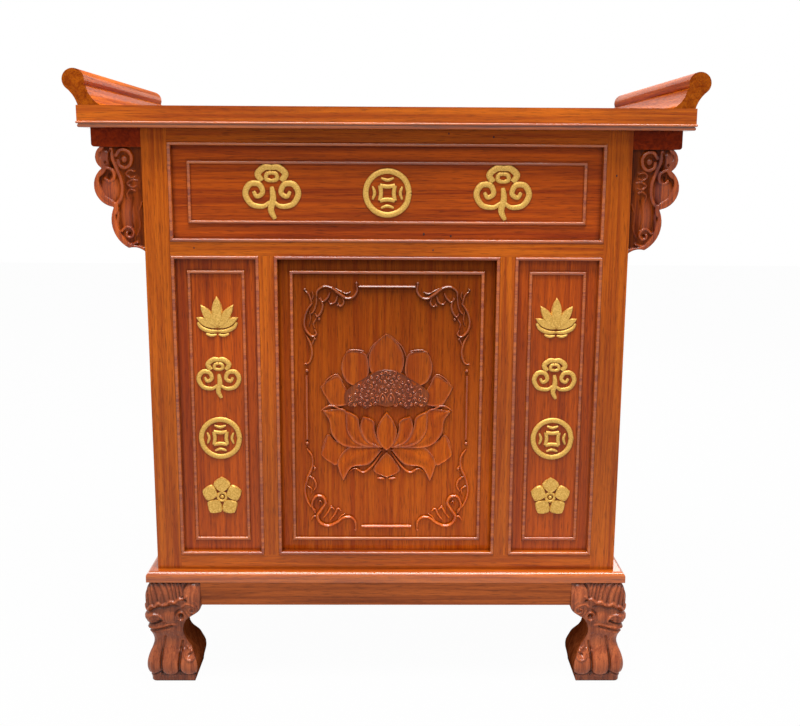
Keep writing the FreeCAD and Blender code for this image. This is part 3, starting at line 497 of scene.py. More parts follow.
dress(woods["plinth"], "plinth_frame")
dress(woods["door"], "door_frame")
dress(woods["raw"], "bottom_board")
dress(brass, "hinge_frame_leaves", "hinge_door_leaves", "hinge_screws_frame",
      "hinge_screws_door", "door_knob")
dress(chrome, "lock_body", "lock_plug")
dress(woods["panel_z"], "front_panel_centre")
dress(woods["shade"], *[f"bracket_{corner}" for corner in corners])
dress(woods["apron_x"], *[f"leg_{corner}" for corner in corners])
dress(gilding, "gilt_frieze_ornaments", "gilt_left_ornaments", "gilt_right_ornaments")
print("dressed", sum(1 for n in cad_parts.values() if n.material_slots), "pieces")

# %% [markdown]
# ## Carving helpers
#
# Three ways of carving are used below. A petal is a sheet stretched between two edge lines,
# with a rolled lip. A scroll is a strand along a smooth line, thick in the middle. A blank is
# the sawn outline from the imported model, remeshed finely and then cut with grooves, ridges
# and bosses that are drawn as a few points each, in millimetres.


# %% Selecting and joining
def pick(*pieces):
    """Selects these pieces alone."""
    bpy.ops.object.select_all(action="DESELECT")
    for piece in pieces:
        piece.select_set(True)
    bpy.context.view_layer.objects.active = pieces[0]


def join(pieces, name):
    """One object from many, named and with its place in its mesh."""
    pick(*pieces)
    bpy.ops.object.join()
    piece = bpy.context.object
    bpy.ops.object.transform_apply(location=True, rotation=True, scale=True)
    piece.name = name
    piece.data.name = name
    return piece


def varnish(piece, material):
    """Gives a new piece its one material."""
    piece.data.materials.clear()
    piece.data.materials.append(material)


def points_of(piece):
    """All the vertices of a piece as rows of x, y, z."""
    rows = np.empty(len(piece.data.vertices) * 3)
    piece.data.vertices.foreach_get("co", rows)
    return rows.reshape(-1, 3)


def put_points(piece, rows):
    """Writes the vertices back."""
    piece.data.vertices.foreach_set("co", rows.ravel())
    piece.data.update()


# %% Lines, marks and soft steps
SPAN_STEPS = 20


def smooth_line(points, count):
    """Evenly spread points on a smooth line through a few drawn ones."""
    knots = np.array(points, float)
    ends = np.vstack([2 * knots[0] - knots[1], knots, 2 * knots[-1] - knots[-2]])
    t = np.linspace(0, 1, SPAN_STEPS, endpoint=False)[:, None]
    spans = []
    for a, b, c, d in zip(ends[:-3], ends[1:-2], ends[2:-1], ends[3:]):
        spans.append(0.5 * (2 * b + (c - a) * t + (2 * a - 5 * b + 4 * c - d) * t ** 2
                            + (3 * b - a - 3 * c + d) * t ** 3))
    fine = np.vstack(spans + [knots[-1:]])
    run = np.r_[0, np.cumsum(np.linalg.norm(np.diff(fine, axis=0), axis=1))]
    even = np.linspace(0, run[-1], count)
    return np.column_stack([np.interp(even, run, fine[:, k]) for k in range(fine.shape[1])])


def soft(x, low_end, high_end):
    """0 below one value, 1 above another and smooth between."""
    t = np.clip((x - low_end) / (high_end - low_end), 0, 1)
    return t * t * (3 - 2 * t)


def bell(distance, spread):
    """1 at no distance, and falling away smoothly."""
    return np.exp(-((distance / spread) ** 2))


def mark(piece, name, values):
    """Stores a number from 0 to 1 at each vertex."""
    values = np.clip(values, 0, 1) * np.ones(len(piece.data.vertices))
    layer = piece.data.attributes.get(name) or piece.data.attributes.new(name, "FLOAT", "POINT")
    layer.data.foreach_set("value", values.astype(np.float32))


def mark_shade_and_polish(piece, values, polish=1.0):
    """Stores how high the carving stands, from 0 in a cut to 1 on the face, and its polish; the height
    darkens the cuts as painted shade.
    """
    mark(piece, "surface", values)
    mark(piece, "polish", polish)


print("carving helpers ready")

# %% [markdown]
# A carved petal starts as a grid. Its rows run from foot to tip between the two edge lines,
# and its columns crowd towards the edges, where the lip needs them. The rim is pulled below
# the board and closed with one face, so the petal is a solid of its own.

# %% Petals
PANEL_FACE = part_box("front_panel_left")[0].y
# how deep the rim is sunk, and how far in from the edge the petal rises, in millimetres
SINK = 0.6
EDGE_RUN = 1.0
VEIN_DEPTH = 0.7
# where the lip and its shine are, and how wide they spread, in millimetres
LIP_INSET = 1.9
LIP_SPREAD = 1.3
SHINE_INSET = 1.6
SHINE_SPREAD = 1.8
# shares of varnish, and of tone, which is painted shade that darkens the petal towards its foot
PETAL_POLISH = 0.14
LIP_POLISH = 0.7
PETAL_FOOT = 0.2
PETAL_GAIN = 0.7
SAME_PLACE = 1e-6


def petal(left, right, level, crown=1.6, lip=1.3, rows=24, columns=20, veins=0, face=PANEL_FACE):
    """A petal between two edge lines, in millimetres across and up; level is its height."""
    bpy.ops.object.select_all(action="DESELECT")
    bpy.ops.mesh.primitive_grid_add(x_subdivisions=columns, y_subdivisions=rows, size=1)
    piece = bpy.context.object
    grid = points_of(piece)
    across = 0.5 - 0.5 * np.cos(np.pi * (grid[:, 0] + 0.5))
    along = grid[:, 1] + 0.5
    steps = np.unique(np.round(along, 5))
    row = np.searchsorted(steps, np.round(along, 5) - 1e-4)
    left_line = smooth_line(left, len(steps))[row]
    right_line = smooth_line(right, len(steps))[row]
    place = left_line * (1 - across)[:, None] + right_line * across[:, None]
    width = np.linalg.norm(right_line - left_line, axis=1)
    edge = np.minimum(across, 1 - across) * width
    rise = soft(edge, 0, EDGE_RUN)
    dish = 4 * across * (1 - across)
    height = -SINK + rise * (level + SINK + crown * dish)
    height += rise * lip * bell(edge - LIP_INSET, LIP_SPREAD)
    height -= rise * VEIN_DEPTH * bool(veins) * (0.5 - 0.5 * np.cos(2 * np.pi * veins * across))
    rim = (edge < SAME_PLACE) | (along < SAME_PLACE)
    height[rim] = -SINK
    put_points(piece, np.column_stack([place[:, 0] * MM, face - height * MM, place[:, 1] * MM]))
    shine = PETAL_POLISH + LIP_POLISH * bell(edge - SHINE_INSET, SHINE_SPREAD)
    mark_shade_and_polish(piece, PETAL_FOOT + PETAL_GAIN * height / max(level, 1.0), shine)
    pick(piece)
    bpy.ops.object.mode_set(mode="EDIT")
    bpy.ops.mesh.select_all(action="SELECT")
    bpy.ops.mesh.remove_doubles(threshold=SAME_PLACE)
    bpy.ops.mesh.select_all(action="DESELECT")
    bpy.ops.mesh.select_non_manifold()
    bpy.ops.mesh.edge_face_add()
    bpy.ops.object.mode_set(mode="OBJECT")
    return piece


def mirrored_petals(left, right, level, **more):
    """The petal and its mirror image about the board's middle line."""
    flipped = [[(-x, z) for x, z in line] for line in (right, left)]
    return [petal(left, right, level, **more), petal(*flipped, level, **more)]


print("petal tool ready")


# %% Scrolls and bosses
# the gap between two points along a strand, in millimetres
POINT_GAP = 1.6
FEWEST_POINTS = 8
TAPER = 0.6
SCROLL_POLISH = 0.75


def scroll(points, radius, flat=0.75, tips=0.45, face=PANEL_FACE, raised=0.2, sides=12, ridge=1.4):
    """A strand along a smooth line, thick in the middle and thinner at its ends.

    ridge is 2 for a round section, and less for flanks that are cut flatter.
    """
    length = sum(math.dist(a, b) for a, b in zip(points[:-1], points[1:]))
    line = smooth_line(points, max(FEWEST_POINTS, int(length / POINT_GAP)))
    bpy.ops.object.select_all(action="DESELECT")
    bpy.ops.curve.primitive_bezier_curve_add()
    curve = bpy.context.object
    curve.data.splines.clear()
    strand = curve.data.splines.new("POLY")
    strand.points.add(len(line) - 1)
    for i, (x, z) in enumerate(line):
        strand.points[i].co = (x * MM, 0, z * MM, 1)
        share = i / (len(line) - 1)
        strand.points[i].radius = tips + (1 - tips) * math.sin(math.pi * share) ** TAPER
    curve.data.dimensions = "3D"
    curve.data.bevel_depth = radius * MM
    curve.data.bevel_resolution = sides // 2 - 2
    curve.data.use_fill_caps = True
    bpy.ops.object.convert(target="MESH")
    piece = bpy.context.object
    rows = points_of(piece)
    rings = rows[:, 1].reshape(-1, sides)
    reach = np.abs(rings).max(axis=1, keepdims=True)
    deep = (rings / reach).ravel()
    aside = np.sqrt(np.clip(1 - deep ** 2, 0, 1))
    cut = np.sign(deep) * np.clip(1 - aside ** ridge, 0, 1) ** (1 / ridge)
    rows[:, 1] = face + cut * (reach * np.ones_like(rings)).ravel() * flat - raised * radius * MM
    put_points(piece, rows)
    # painted shade: the strand is darker on its side towards the board
    mark_shade_and_polish(piece, 0.8 - 0.4 * cut, SCROLL_POLISH)
    return piece


def boss(x, z, radius, height, face=PANEL_FACE, tall=1.0):
    """A round carved bead, half sunk in the board."""
    bpy.ops.object.select_all(action="DESELECT")
    bpy.ops.mesh.primitive_uv_sphere_add(segments=14, ring_count=8, radius=radius * MM,
                                         location=(x * MM, face, z * MM))
    bpy.ops.transform.resize(value=(1, height / radius, tall))
    bpy.ops.object.transform_apply(location=True, rotation=True, scale=True)
    piece = bpy.context.object
    deep = (face - points_of(piece)[:, 1]) / (height * MM)
    # painted shade: the bead is darker towards its foot
    mark_shade_and_polish(piece, 0.45 + 0.55 * deep)
    return piece


print("scroll and boss tools ready")

# %% [markdown]
# ## The lotus board
#
# The middle board carries a large lotus and a scrolled border, carved in low relief. The lotus
# is built from the back forwards, as the carver sets it out: the upper petals, the seed pod,
# the cup of petals in front of it, and the leaves that spread below. Points are millimetres
# across and up from the middle of the board.

# %% Lotus petals
BOARD_MIDDLE = 500.0


def on_board(line, side=1):
    """Moves a drawn line to its height above the floor; side is -1 for its mirror image."""
    return [(side * x, z + BOARD_MIDDLE) for x, z in line]


def petal_pairs(drawn, **more):
    """Petals on both sides of the middle, from outer line, inner line, level and crown."""
    made = []
    for outer, inner, level, crown in drawn:
        made += mirrored_petals(on_board(outer), on_board(inner), level, crown=crown, **more)
    return made


TIP = (-1, 134)
BACK_PETALS = [
    # edge line on the outer side, edge line on the inner side, level, crown
    ([(-50, 38), (-70, 48), (-79, 68), (-77, 88), (-69, 103)],
     [(-42, 40), (-31, 62), (-31, 82), (-38, 100), (-69, 103)], 3.2, 1.6),
    ([(-60, 8), (-92, 4), (-107, 22), (-116, 40)],
     [(-60, 20), (-74, 44), (-86, 61), (-116, 40)], 2.6, 1.4),
    ([(-60, -66), (-84, -101), (-100, -97), (-115, -84)],
     [(-60, -60), (-90, -56), (-102, -44), (-112, -62), (-115, -84)], 2.0, 1.0),
]
FRONT_PETALS = [
    ([(-6, -72), (-30, -100), (-60, -106), (-76, -133)],
     [(-10, -66), (-60, -64), (-86, -90), (-84, -112), (-76, -133)], 3.0, 2.0),
    ([(-12, -70), (-70, -69), (-95, -48), (-101, -20), (-114, -2)],
     [(-12, -66), (-50, -58), (-66, -34), (-72, 0), (-114, -2)], 4.2, 1.6),
    ([(-10, -71), (-49, -65), (-68, -45), (-72, -22), (-71, -2)],
     [(-8, -66), (-33, -56), (-45, -34), (-50, -14), (-71, -2)], 5.0, 1.5),
    ([(-8, -71), (-34, -60), (-46, -38), (-46, -24), (-41, -12)],
     [(-3, -68), (-14, -54), (-20, -36), (-22, -20), (-41, -12)], 5.6, 1.4),
]

MIDDLE_PETAL = [
    [(-18, 50), (-31, 72), (-32, 96), (-20, 118), TIP],
    [(16, 50), (29, 72), (30, 96), (18, 118), TIP],
]
ROLLED_EDGES = [
    # the strand, its radius and how far its middle stands off the board
    ([(-70, 101), (-62, 104), (-50, 104), (-39, 102)], 1.7, 3.6),
    ([(-34, 92), (-26, 110), (-14, 122), (-1, 133)], 1.2, 2.2),
    ([(-113, 40), (-100, 55), (-86, 61), (-76, 50)], 1.3, 2.6),
    ([(-114, -3), (-105, 4), (-94, 6), (-83, 1), (-73, -3)], 1.7, 4.4),
    ([(-114, -83), (-108, -62), (-102, -46)], 1.1, 2.2),
]

lotus_parts = petal_pairs(BACK_PETALS)
lotus_parts.append(petal(*map(on_board, MIDDLE_PETAL), 2.4, crown=1.8))
for points, radius, height in ROLLED_EDGES:
    for side in (1, -1):
        lotus_parts.append(scroll(on_board(points, side), radius, tips=0.3,
                                  face=PANEL_FACE - height * MM))
print("back petals and rolled edges", len(lotus_parts))

# %% [markdown]
# The seed pod is a dome whose edge hangs in soft waves, covered all over with small curls.
# A flat dome is made as one wide petal, and rings and beads are set over it in rows.

# %% Seed pod
POD_TOP = [(-72, 12), (-73, 30), (-56, 46), (-36, 59), (-18, 69), (0, 72),
           (18, 69), (36, 59), (56, 46), (73, 30), (72, 12)]
POD_LOW = [(-72, 12), (-62, 3), (-48, 9), (-36, -1), (-20, 7), (0, 2),
           (20, 7), (36, -1), (48, 9), (62, 3), (72, 12)]

pod = petal(on_board(POD_LOW), on_board(POD_TOP), 4.0, crown=1.4, lip=1.2, rows=60, columns=16)
# painted shade: the pod's dome is darkened under its curls
mark_shade_and_polish(pod, 0.38, 0.4)
lotus_parts.append(pod)

CURL_ROWS = [
    # height above the board's middle, half the row's width, and how many curls
    (9, 64, 15), (17, 66, 15), (25, 64, 14), (33, 57, 12),
    (41, 48, 10), (49, 37, 8), (57, 26, 6), (64, 13, 4),
]
CURL_SIZE = 2.8
CURL_LEVEL = 5.2
CURL_SWEEP = 4.8
HOLLOW_REACH = 13
HOLLOW_ROWS = 3
HOLLOW_X = 7

for row, (z, half, count) in enumerate(CURL_ROWS):
    for i in range(count):
        x = -half + 2 * half * (i + 0.5 * (row % 2)) / (count - 0.5)
        if abs(x) < HOLLOW_REACH and row < HOLLOW_ROWS:
            continue
        turn = 2.4 * i + 1.3 * row
        size = CURL_SIZE + 0.6 * math.sin(3.1 * i + 1.7 * row)
        face = PANEL_FACE - (CURL_LEVEL + 0.5 * math.sin(2.3 * i + row)) * MM
        ring = [(x + size * math.cos(turn + a), z + BOARD_MIDDLE + size * math.sin(turn + a))
                for a in np.linspace(0, CURL_SWEEP, 6)]
        lotus_parts.append(scroll(ring, 1.4, face=face, flat=1.1, sides=8, ridge=2.0))
        lotus_parts.append(boss(x, z + BOARD_MIDDLE, 1.3, 1.6, face=face))
for x in (-HOLLOW_X, HOLLOW_X):
    lotus_parts.append(boss(x, BOARD_MIDDLE + 18.5, 2.6, 3.0, face=PANEL_FACE - 4.6 * MM, tall=1.8))
    hollow = [(x - 4.6, 11), (x - 5.6, 20), (x, 28), (x + 5.6, 20), (x + 4.6, 11)]
    lotus_parts.append(scroll(on_board(hollow), 1.4, face=PANEL_FACE - CURL_LEVEL * MM))
print("seed pod parts", len(lotus_parts))

# %% Cup and lower leaves
CUP_MIDDLE = [
    [(0, -74), (-13, -62), (-19, -40), (-12, -20), (0, -4)],
    [(0, -74), (13, -62), (19, -40), (12, -20), (0, -4)],
]
BASE_LEAF = [
    [(0, -76), (-14, -92), (-24, -112), (0, -124)],
    [(0, -76), (14, -92), (24, -112), (0, -124)],
]
LOW_FLAP = [(8, -78), (26, -104), (41, -115), (56, -108), (70, -117)]
LOW_DROP = [(3, -127), (10, -126), (17, -126)]

lotus_parts += petal_pairs(FRONT_PETALS, veins=2)
lotus_parts.append(petal(*map(on_board, CUP_MIDDLE), 6.2, crown=1.6))
for side in (-1, 1):
    lotus_parts.append(scroll(on_board(LOW_FLAP, side), 3.0, flat=1.3))
    lotus_parts.append(scroll(on_board(LOW_DROP, side), 3.2, flat=1.1))
lotus_parts.append(petal(*map(on_board, BASE_LEAF), 1.6, crown=1.2))
print("lotus parts", len(lotus_parts))

# %% [markdown]
# ## The scrolled border
#
# Plain half-round bars run along the four sides, and leafy scrolls fill the corners. One half
# is drawn as strands of a few points each, and the other half is its mirror image.

# %% Border strands
BORDER = [
    # points across and up from the middle, and the strand's radius
    ([(-52, 218), (-51, 207), (-57, 197), (-69, 194), (-83, 203), (-95, 212), (-108, 214),
      (-119, 206), (-120, 196)], 2.7),
    ([(-62, 205), (-70, 202), (-79, 206), (-88, 211)], 1.6),
    ([(-76, 196), (-74, 186), (-80, 180), (-84, 187)], 1.9),
    ([(-84, 199), (-88, 188), (-96, 184), (-100, 190)], 1.9),
    ([(-97, 204), (-102, 194), (-110, 188), (-116, 194)], 2.0),
    ([(-114, 196), (-110, 182), (-113, 170), (-119, 162), (-123, 168)], 2.2),
    ([(-120, 198), (-121, 184), (-125, 172), (-131, 166)], 1.8),
    ([(-139, 206), (-133, 200), (-130, 190), (-129, 183)], 2.0),
    ([(-128, 206), (-126, 198), (-129, 190)], 1.6),
    ([(-127, 186), (-137, 172), (-142, 152), (-138, 137), (-128, 128), (-121, 132),
      (-124, 140)], 2.4),
    ([(-120, 160), (-126, 150), (-124, 142)], 1.6),
    ([(-133, 172), (-131, 158), (-134, 146)], 1.4),
    ([(-140, 132), (-132, 116), (-129, 98), (-134, 82), (-143, 79)], 2.3),
    ([(-124, 126), (-128, 116), (-132, 108)], 1.5),
    ([(-140, -72), (-131, -86), (-131, -106), (-139, -126), (-144, -150), (-138, -172),
      (-126, -186)], 2.4),
    ([(-131, -100), (-126, -108), (-130, -114)], 1.6),
    ([(-136, -122), (-128, -128), (-124, -140), (-129, -150)], 1.9),
    ([(-140, -140), (-132, -146), (-134, -158)], 1.5),
    ([(-126, -190), (-132, -176), (-125, -160), (-113, -160), (-108, -172), (-116, -186),
      (-122, -196), (-118, -208), (-104, -214), (-88, -208), (-76, -199), (-64, -198),
      (-56, -206), (-54, -222)], 2.7),
    ([(-120, -176), (-118, -168), (-113, -172)], 1.6),
    ([(-112, -200), (-104, -190), (-98, -180), (-92, -184)], 1.9),
    ([(-100, -204), (-92, -194), (-86, -182), (-80, -187)], 1.9),
    ([(-134, -204), (-128, -196), (-122, -198)], 1.7),
    ([(-86, -204), (-80, -196), (-74, -192)], 1.5),
]
BORDER_BEADS = [
    (-138, 68, 3.4), (-139, -62, 3.4), (-52, 220, 2.6), (-116, 158, 2.8), (-84, 182, 2.4),
    (-126, -108, 2.6), (-129, -127, 2.6), (-124, 124, 2.6), (-140, 209, 2.6),
    (-55, -222, 2.4), (-98, -178, 2.2),
]
BAR_TOP = ((0, 214), (48, 214))
BAR_LOW = ((0, -215), (44, -215))
BAR_SIDE = ((-139, 60), (-139, -55))
print("strands drawn", len(BORDER), "beads", len(BORDER_BEADS))

# %% Carve the border
BORDER_WEIGHT = 1.25

border_parts = []
for points, radius in BORDER:
    for side in (1, -1):
        border_parts.append(scroll(on_board(points, side), radius * BORDER_WEIGHT,
                                   flat=1.25, raised=0.4, tips=0.5))
for x, z, radius in BORDER_BEADS:
    for side in (1, -1):
        border_parts.append(boss(side * x, z + BOARD_MIDDLE, radius * 1.1, radius * 1.5))
for (x0, z0), (x1, z1) in (BAR_TOP, BAR_LOW, BAR_SIDE):
    bar = [(x0, z0), ((x0 + x1) / 2, (z0 + z1) / 2), (x1, z1)]
    for side in (1, -1):
        border_parts.append(scroll(on_board(bar, side), 3.4, flat=1.2, tips=0.9, raised=0.3))
print("border parts", len(border_parts))

# %% The board itself
low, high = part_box("front_panel_centre")
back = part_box("front_panel_left")[1].y
BOARD_EDGE = 0.6
POLISH_TOP = 0.02
POLISH_LOW = 0.2
BOARD_SURFACE = 0.85
SHARP_ANGLE = math.radians(50)

bpy.ops.object.select_all(action="DESELECT")
bpy.ops.mesh.primitive_cube_add(size=1, location=((low.x + high.x) / 2, (PANEL_FACE + back) / 2,
                                                  (low.z + high.z) / 2))
board = bpy.context.object
board.scale = (high.x - low.x, back - PANEL_FACE, high.z - low.z)
bpy.ops.object.transform_apply(location=True, rotation=True, scale=True)
bpy.ops.object.mode_set(mode="EDIT")
bpy.ops.mesh.select_all(action="SELECT")
bpy.ops.mesh.bevel(offset=BOARD_EDGE * MM, segments=2, affect="EDGES")
bpy.ops.object.mode_set(mode="OBJECT")
in_top_half = points_of(board)[:, 2] > BOARD_MIDDLE * MM
mark_shade_and_polish(board, BOARD_SURFACE, np.where(in_top_half, POLISH_TOP, POLISH_LOW))
lotus_board = join([board] + lotus_parts + border_parts, "lotus_board")
varnish(lotus_board, woods["lotus"])
pick(lotus_board)
bpy.ops.object.shade_smooth_by_angle(angle=SHARP_ANGLE)
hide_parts("front_panel_centre")
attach(lotus_board, "cabinet")
print("lotus board faces", len(lotus_board.data.polygons))

# %% [markdown]
# ## Carving a sawn blank
#
# The brackets and legs start as blanks sawn to their outline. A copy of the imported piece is
# merged and remeshed to an even skin, and each vertex is then moved by the height that the
# carving has at its place. Cuts and ridges are smooth lines with a width, and swellings are
# domes, so the skin stays one closed surface with soft edges, as sanded carving has.


# %% Blanks and carving strokes
def sawn_blank(node, name, voxel):
    """A fine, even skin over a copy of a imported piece."""
    piece = bpy.data.objects.new(name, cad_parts[node].data.copy())
    bpy.context.scene.collection.objects.link(piece)
    pick(piece)
    bpy.ops.object.mode_set(mode="EDIT")
    bpy.ops.mesh.select_all(action="SELECT")
    bpy.ops.mesh.remove_doubles(threshold=1e-5)
    bpy.ops.object.mode_set(mode="OBJECT")
    if piece.data.has_custom_normals:
        bpy.ops.mesh.customdata_custom_splitnormals_clear()
    skin = piece.modifiers.new("skin", "REMESH")
    skin.mode = "VOXEL"
    skin.voxel_size = voxel
    bpy.ops.object.modifier_apply(modifier="skin")
    return piece


def away_from(points, a, b):
    """Distance of each place from a smooth line, in millimetres."""
    line = smooth_line(points, 6 * len(points))
    best = np.full(a.shape, 1e9)
    for (x0, y0), (x1, y1) in zip(line[:-1], line[1:]):
        dx, dy = x1 - x0, y1 - y0
        t = np.clip(((a - x0) * dx + (b - y0) * dy) / (dx * dx + dy * dy + 1e-9), 0, 1)
        best = np.minimum(best, np.hypot(a - x0 - t * dx, b - y0 - t * dy))
    return best


def stroke(points, width, height):
    """A ridge along a line, or a groove where the height is negative."""
    return lambda a, b: height * bell(away_from(points, a, b), width)


def band(points, width, height):
    """A ridge with a flat top and steep sides."""
    return lambda a, b: height * np.exp(-((away_from(points, a, b) / width) ** 4))


def dome(centre, radii, height):
    """A round swelling with a soft foot."""
    def rise(a, b):
        share = ((a - centre[0]) / radii[0]) ** 2 + ((b - centre[1]) / radii[1]) ** 2
        return height * np.clip(1 - share, 0, 1) ** 0.75
    return rise


def normals_of(piece):
    """All the vertex normals as rows."""
    rows = np.empty(len(piece.data.vertices) * 3)
    piece.data.vertex_normals.foreach_get("vector", rows)
    return rows.reshape(-1, 3)


def reflected(piece, name, x_sign, y_sign):
    """A copy with its own mesh, mirrored in X or Y or both."""
    copy = bpy.data.objects.new(name, piece.data.copy())
    bpy.context.scene.collection.objects.link(copy)
    put_points(copy, points_of(copy) * np.array([x_sign, y_sign, 1.0]))
    if x_sign * y_sign < 0:
        pick(copy)
        bpy.ops.object.mode_set(mode="EDIT")
        bpy.ops.mesh.select_all(action="SELECT")
        bpy.ops.mesh.flip_normals()
        bpy.ops.object.mode_set(mode="OBJECT")
    return copy


print("carving tools ready")

# %% [markdown]
# ## The cloud brackets
#
# Each bracket keeps a raised rim along its curved edge. Inside it the ground is cut down, and
# scrolls, a round volute and a long lower swelling stand on the ground. Places are measured
# out from the post and down from the bearer.

# %% Draw the bracket
BRACKET_RIM = [(69, 0), (76, 6), (77, 18), (67, 35), (78, 47), (79, 62), (69, 84), (50, 99),
               (55, 112), (53, 130), (44, 150), (28, 167), (12, 170), (0, 173)]
BRACKET_SWELLINGS = [
    dome((62, 19), (12, 15), 3.8),
    dome((55, 70), (18, 24), 4.0),
    dome((56, 60), (12, 17), 1.0),
    dome((27, 112), (14, 36), 3.2),
    dome((12, 60), (9, 16), 1.6),
    dome((12, 100), (8, 40), 1.6),
    dome((28, 148), (12, 12), 1.6),
]
BRACKET_STROKES = [
    band([(43, 14), (36, 5), (25, 6), (18, 15), (20, 28), (29, 34), (38, 30), (40, 22)], 3.4, 4.0),
    dome((30, 20), (6, 7), 4.0),
    band([(77, 52), (71, 39), (59, 34), (49, 40), (48, 51), (55, 57), (62, 52)], 3.3, 4.2),
    band([(51, 3), (49, 20), (43, 36), (37, 52), (35, 68), (38, 84), (46, 95)], 3.4, 3.8),
    band([(47, 95), (44, 112), (46, 130), (40, 150), (32, 161)], 2.6, 2.6),
    band([(39, 139), (31, 132), (23, 134), (19, 142), (23, 149), (30, 148), (31, 142)], 2.4, 3.8),
    band([(43, 152), (35, 159), (25, 161), (14, 158)], 2.4, 3.4),
    stroke([(14, 40), (22, 38), (28, 44), (22, 50), (14, 49)], 2.0, 3.0),
    stroke([(10, 55), (19, 54), (27, 60), (20, 66), (12, 64)], 2.0, 2.8),
    stroke([(14, 72), (22, 70), (28, 78), (24, 88)], 1.9, 2.6),
    stroke([(4, 92), (10, 110), (8, 130), (14, 146)], 2.0, 2.0),
]
BRACKET_CUTS = [
    stroke([(52, 6), (55, 20), (50, 34)], 1.5, -2.6),
    stroke([(62, 25), (63, 26)], 2.2, -2.4),
    stroke([(56, 46), (57, 51)], 2.0, -3.0),
    stroke([(26, 142), (27, 144)], 1.6, -2.4),
    stroke([(18, 84), (22, 110), (20, 132)], 1.4, -1.4),
]
RIM_GROOVE = stroke(BRACKET_RIM, 1.2, -0.6)
print("bracket strokes", len(BRACKET_STROKES), "cuts", len(BRACKET_CUTS))

# %% Carve one bracket
BRACKET_VOXEL = 0.9 * MM
# millimetres: the ground lies this deep, and scrolls stand at most this far over the rim
BRACKET_GROUND = 4.2
MOST_PROUD = 0.4
RIM_WIDTH = 7.0
RIM_SOFTNESS = 0.8

bracket = sawn_blank("bracket_front_left", "bracket_front_left_carved", BRACKET_VOXEL)
rows = points_of(bracket)
facing = soft(-normals_of(bracket)[:, 1], 0.5, 0.95)
post_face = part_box("bracket_front_left")[1].x
under_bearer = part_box("bracket_front_left")[1].z
out = (post_face - rows[:, 0]) / MM
down = (under_bearer - rows[:, 2]) / MM
rim = soft(RIM_WIDTH - away_from(BRACKET_RIM, out, down), -RIM_SOFTNESS, RIM_SOFTNESS)
inner = np.full(len(rows), -BRACKET_GROUND)
for raised_form in BRACKET_SWELLINGS + BRACKET_STROKES:
    inner = np.maximum(inner, -BRACKET_GROUND + raised_form(out, down))
for groove in BRACKET_CUTS:
    inner += groove(out, down)
height = np.minimum(inner, MOST_PROUD) * (1 - rim) + RIM_GROOVE(out, down) * rim
rows[:, 1] -= height * facing * MM
put_points(bracket, rows)
# painted shade: the cut-down ground is darker than the scrolls and the rim
standing = 1 + height * facing / BRACKET_GROUND
shine = 0.06 + 0.5 * facing * soft(standing, 0.2, 0.9)
mark_shade_and_polish(bracket, 0.1 + 0.85 * standing, shine)
varnish(bracket, woods["bracket"])
pick(bracket)
bpy.ops.object.shade_smooth()
print("bracket faces", len(bracket.data.polygons))

# %% Four brackets
MIRRORS = {
    "front_left": (1, 1),
    "front_right": (-1, 1),
    "rear_left": (1, -1),
    "rear_right": (-1, -1),
}

for corner in corners:
    piece = bracket
    if corner != "front_left":
        piece = reflected(bracket, f"bracket_{corner}_carved", *MIRRORS[corner])
    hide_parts(f"bracket_{corner}")
    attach(piece, "cabinet")
    print("placed", piece.name)

# %% [markdown]
# ## The lion-mask legs
#
# A leg is sawn to the same scroll outline on both outer faces, and the lion looks out over the
# corner. So both faces get the same drawing, measured from the corner along the face: a mane
# of flutes, a rope brow, an eye curl, the nose and folded lips near the corner, a smooth shin
# with a curl of hair, and two large toes on a foot slab.

# %% Draw the lion mask
BROW = [(-4, 138), (4, 140), (10, 146), (17, 145), (23, 151), (31, 148), (39, 150), (45, 155),
        (53, 153), (60, 159), (68, 160), (74, 165)]
LEG_SWELLINGS = [
    dome((6, 123), (19, 12), 3.6),
    dome((42, 124), (16, 12), 3.0),
    dome((41, 38), (16, 38), 4.4),
    dome((73, 34), (16, 27), 4.0),
    dome((9, 40), (15, 32), 3.4),
    dome((84, 162), (12, 26), 3.0),
    dome((30, 84), (60, 26), 3.0),
]
LEG_STROKES = [
    stroke(BROW, 2.4, 3.4),
    stroke([(4, 121), (10, 128), (20, 129), (29, 123), (31, 116)], 2.1, 3.4),
    stroke([(-2, 104), (14, 103.5), (30, 107), (44, 111), (54, 109)], 1.9, 2.6),
    stroke([(0, 95), (14, 94), (30, 97), (42, 101)], 1.7, 2.0),
    stroke([(57, 122), (61, 119), (67, 121), (69, 127), (66, 133), (60, 134), (56, 130), (58, 125)],
           1.7, 3.2),
    stroke([(66, 145), (73, 150), (83, 148), (90, 141), (87, 133), (79, 133), (77, 139), (82, 142)],
           1.9, 3.0),
    stroke([(70, 138), (74, 131), (80, 127)], 1.7, 2.4),
    stroke([(86, 156), (92, 150), (94, 142)], 1.8, 2.4),
    stroke([(65, 61), (66, 51), (71, 44), (79, 43), (84, 49), (83, 57), (78, 59)], 2.2, 4.0),
    stroke([(71, 65), (75, 61), (80, 64)], 1.8, 2.6),
    stroke([(57, 58), (61, 54), (62, 48)], 1.6, 2.2),
    stroke([(48, 92), (54, 88), (60, 90), (58, 97)], 1.5, 1.8),
    stroke([(36, 91), (42, 86), (48, 84)], 1.4, 1.6),
]
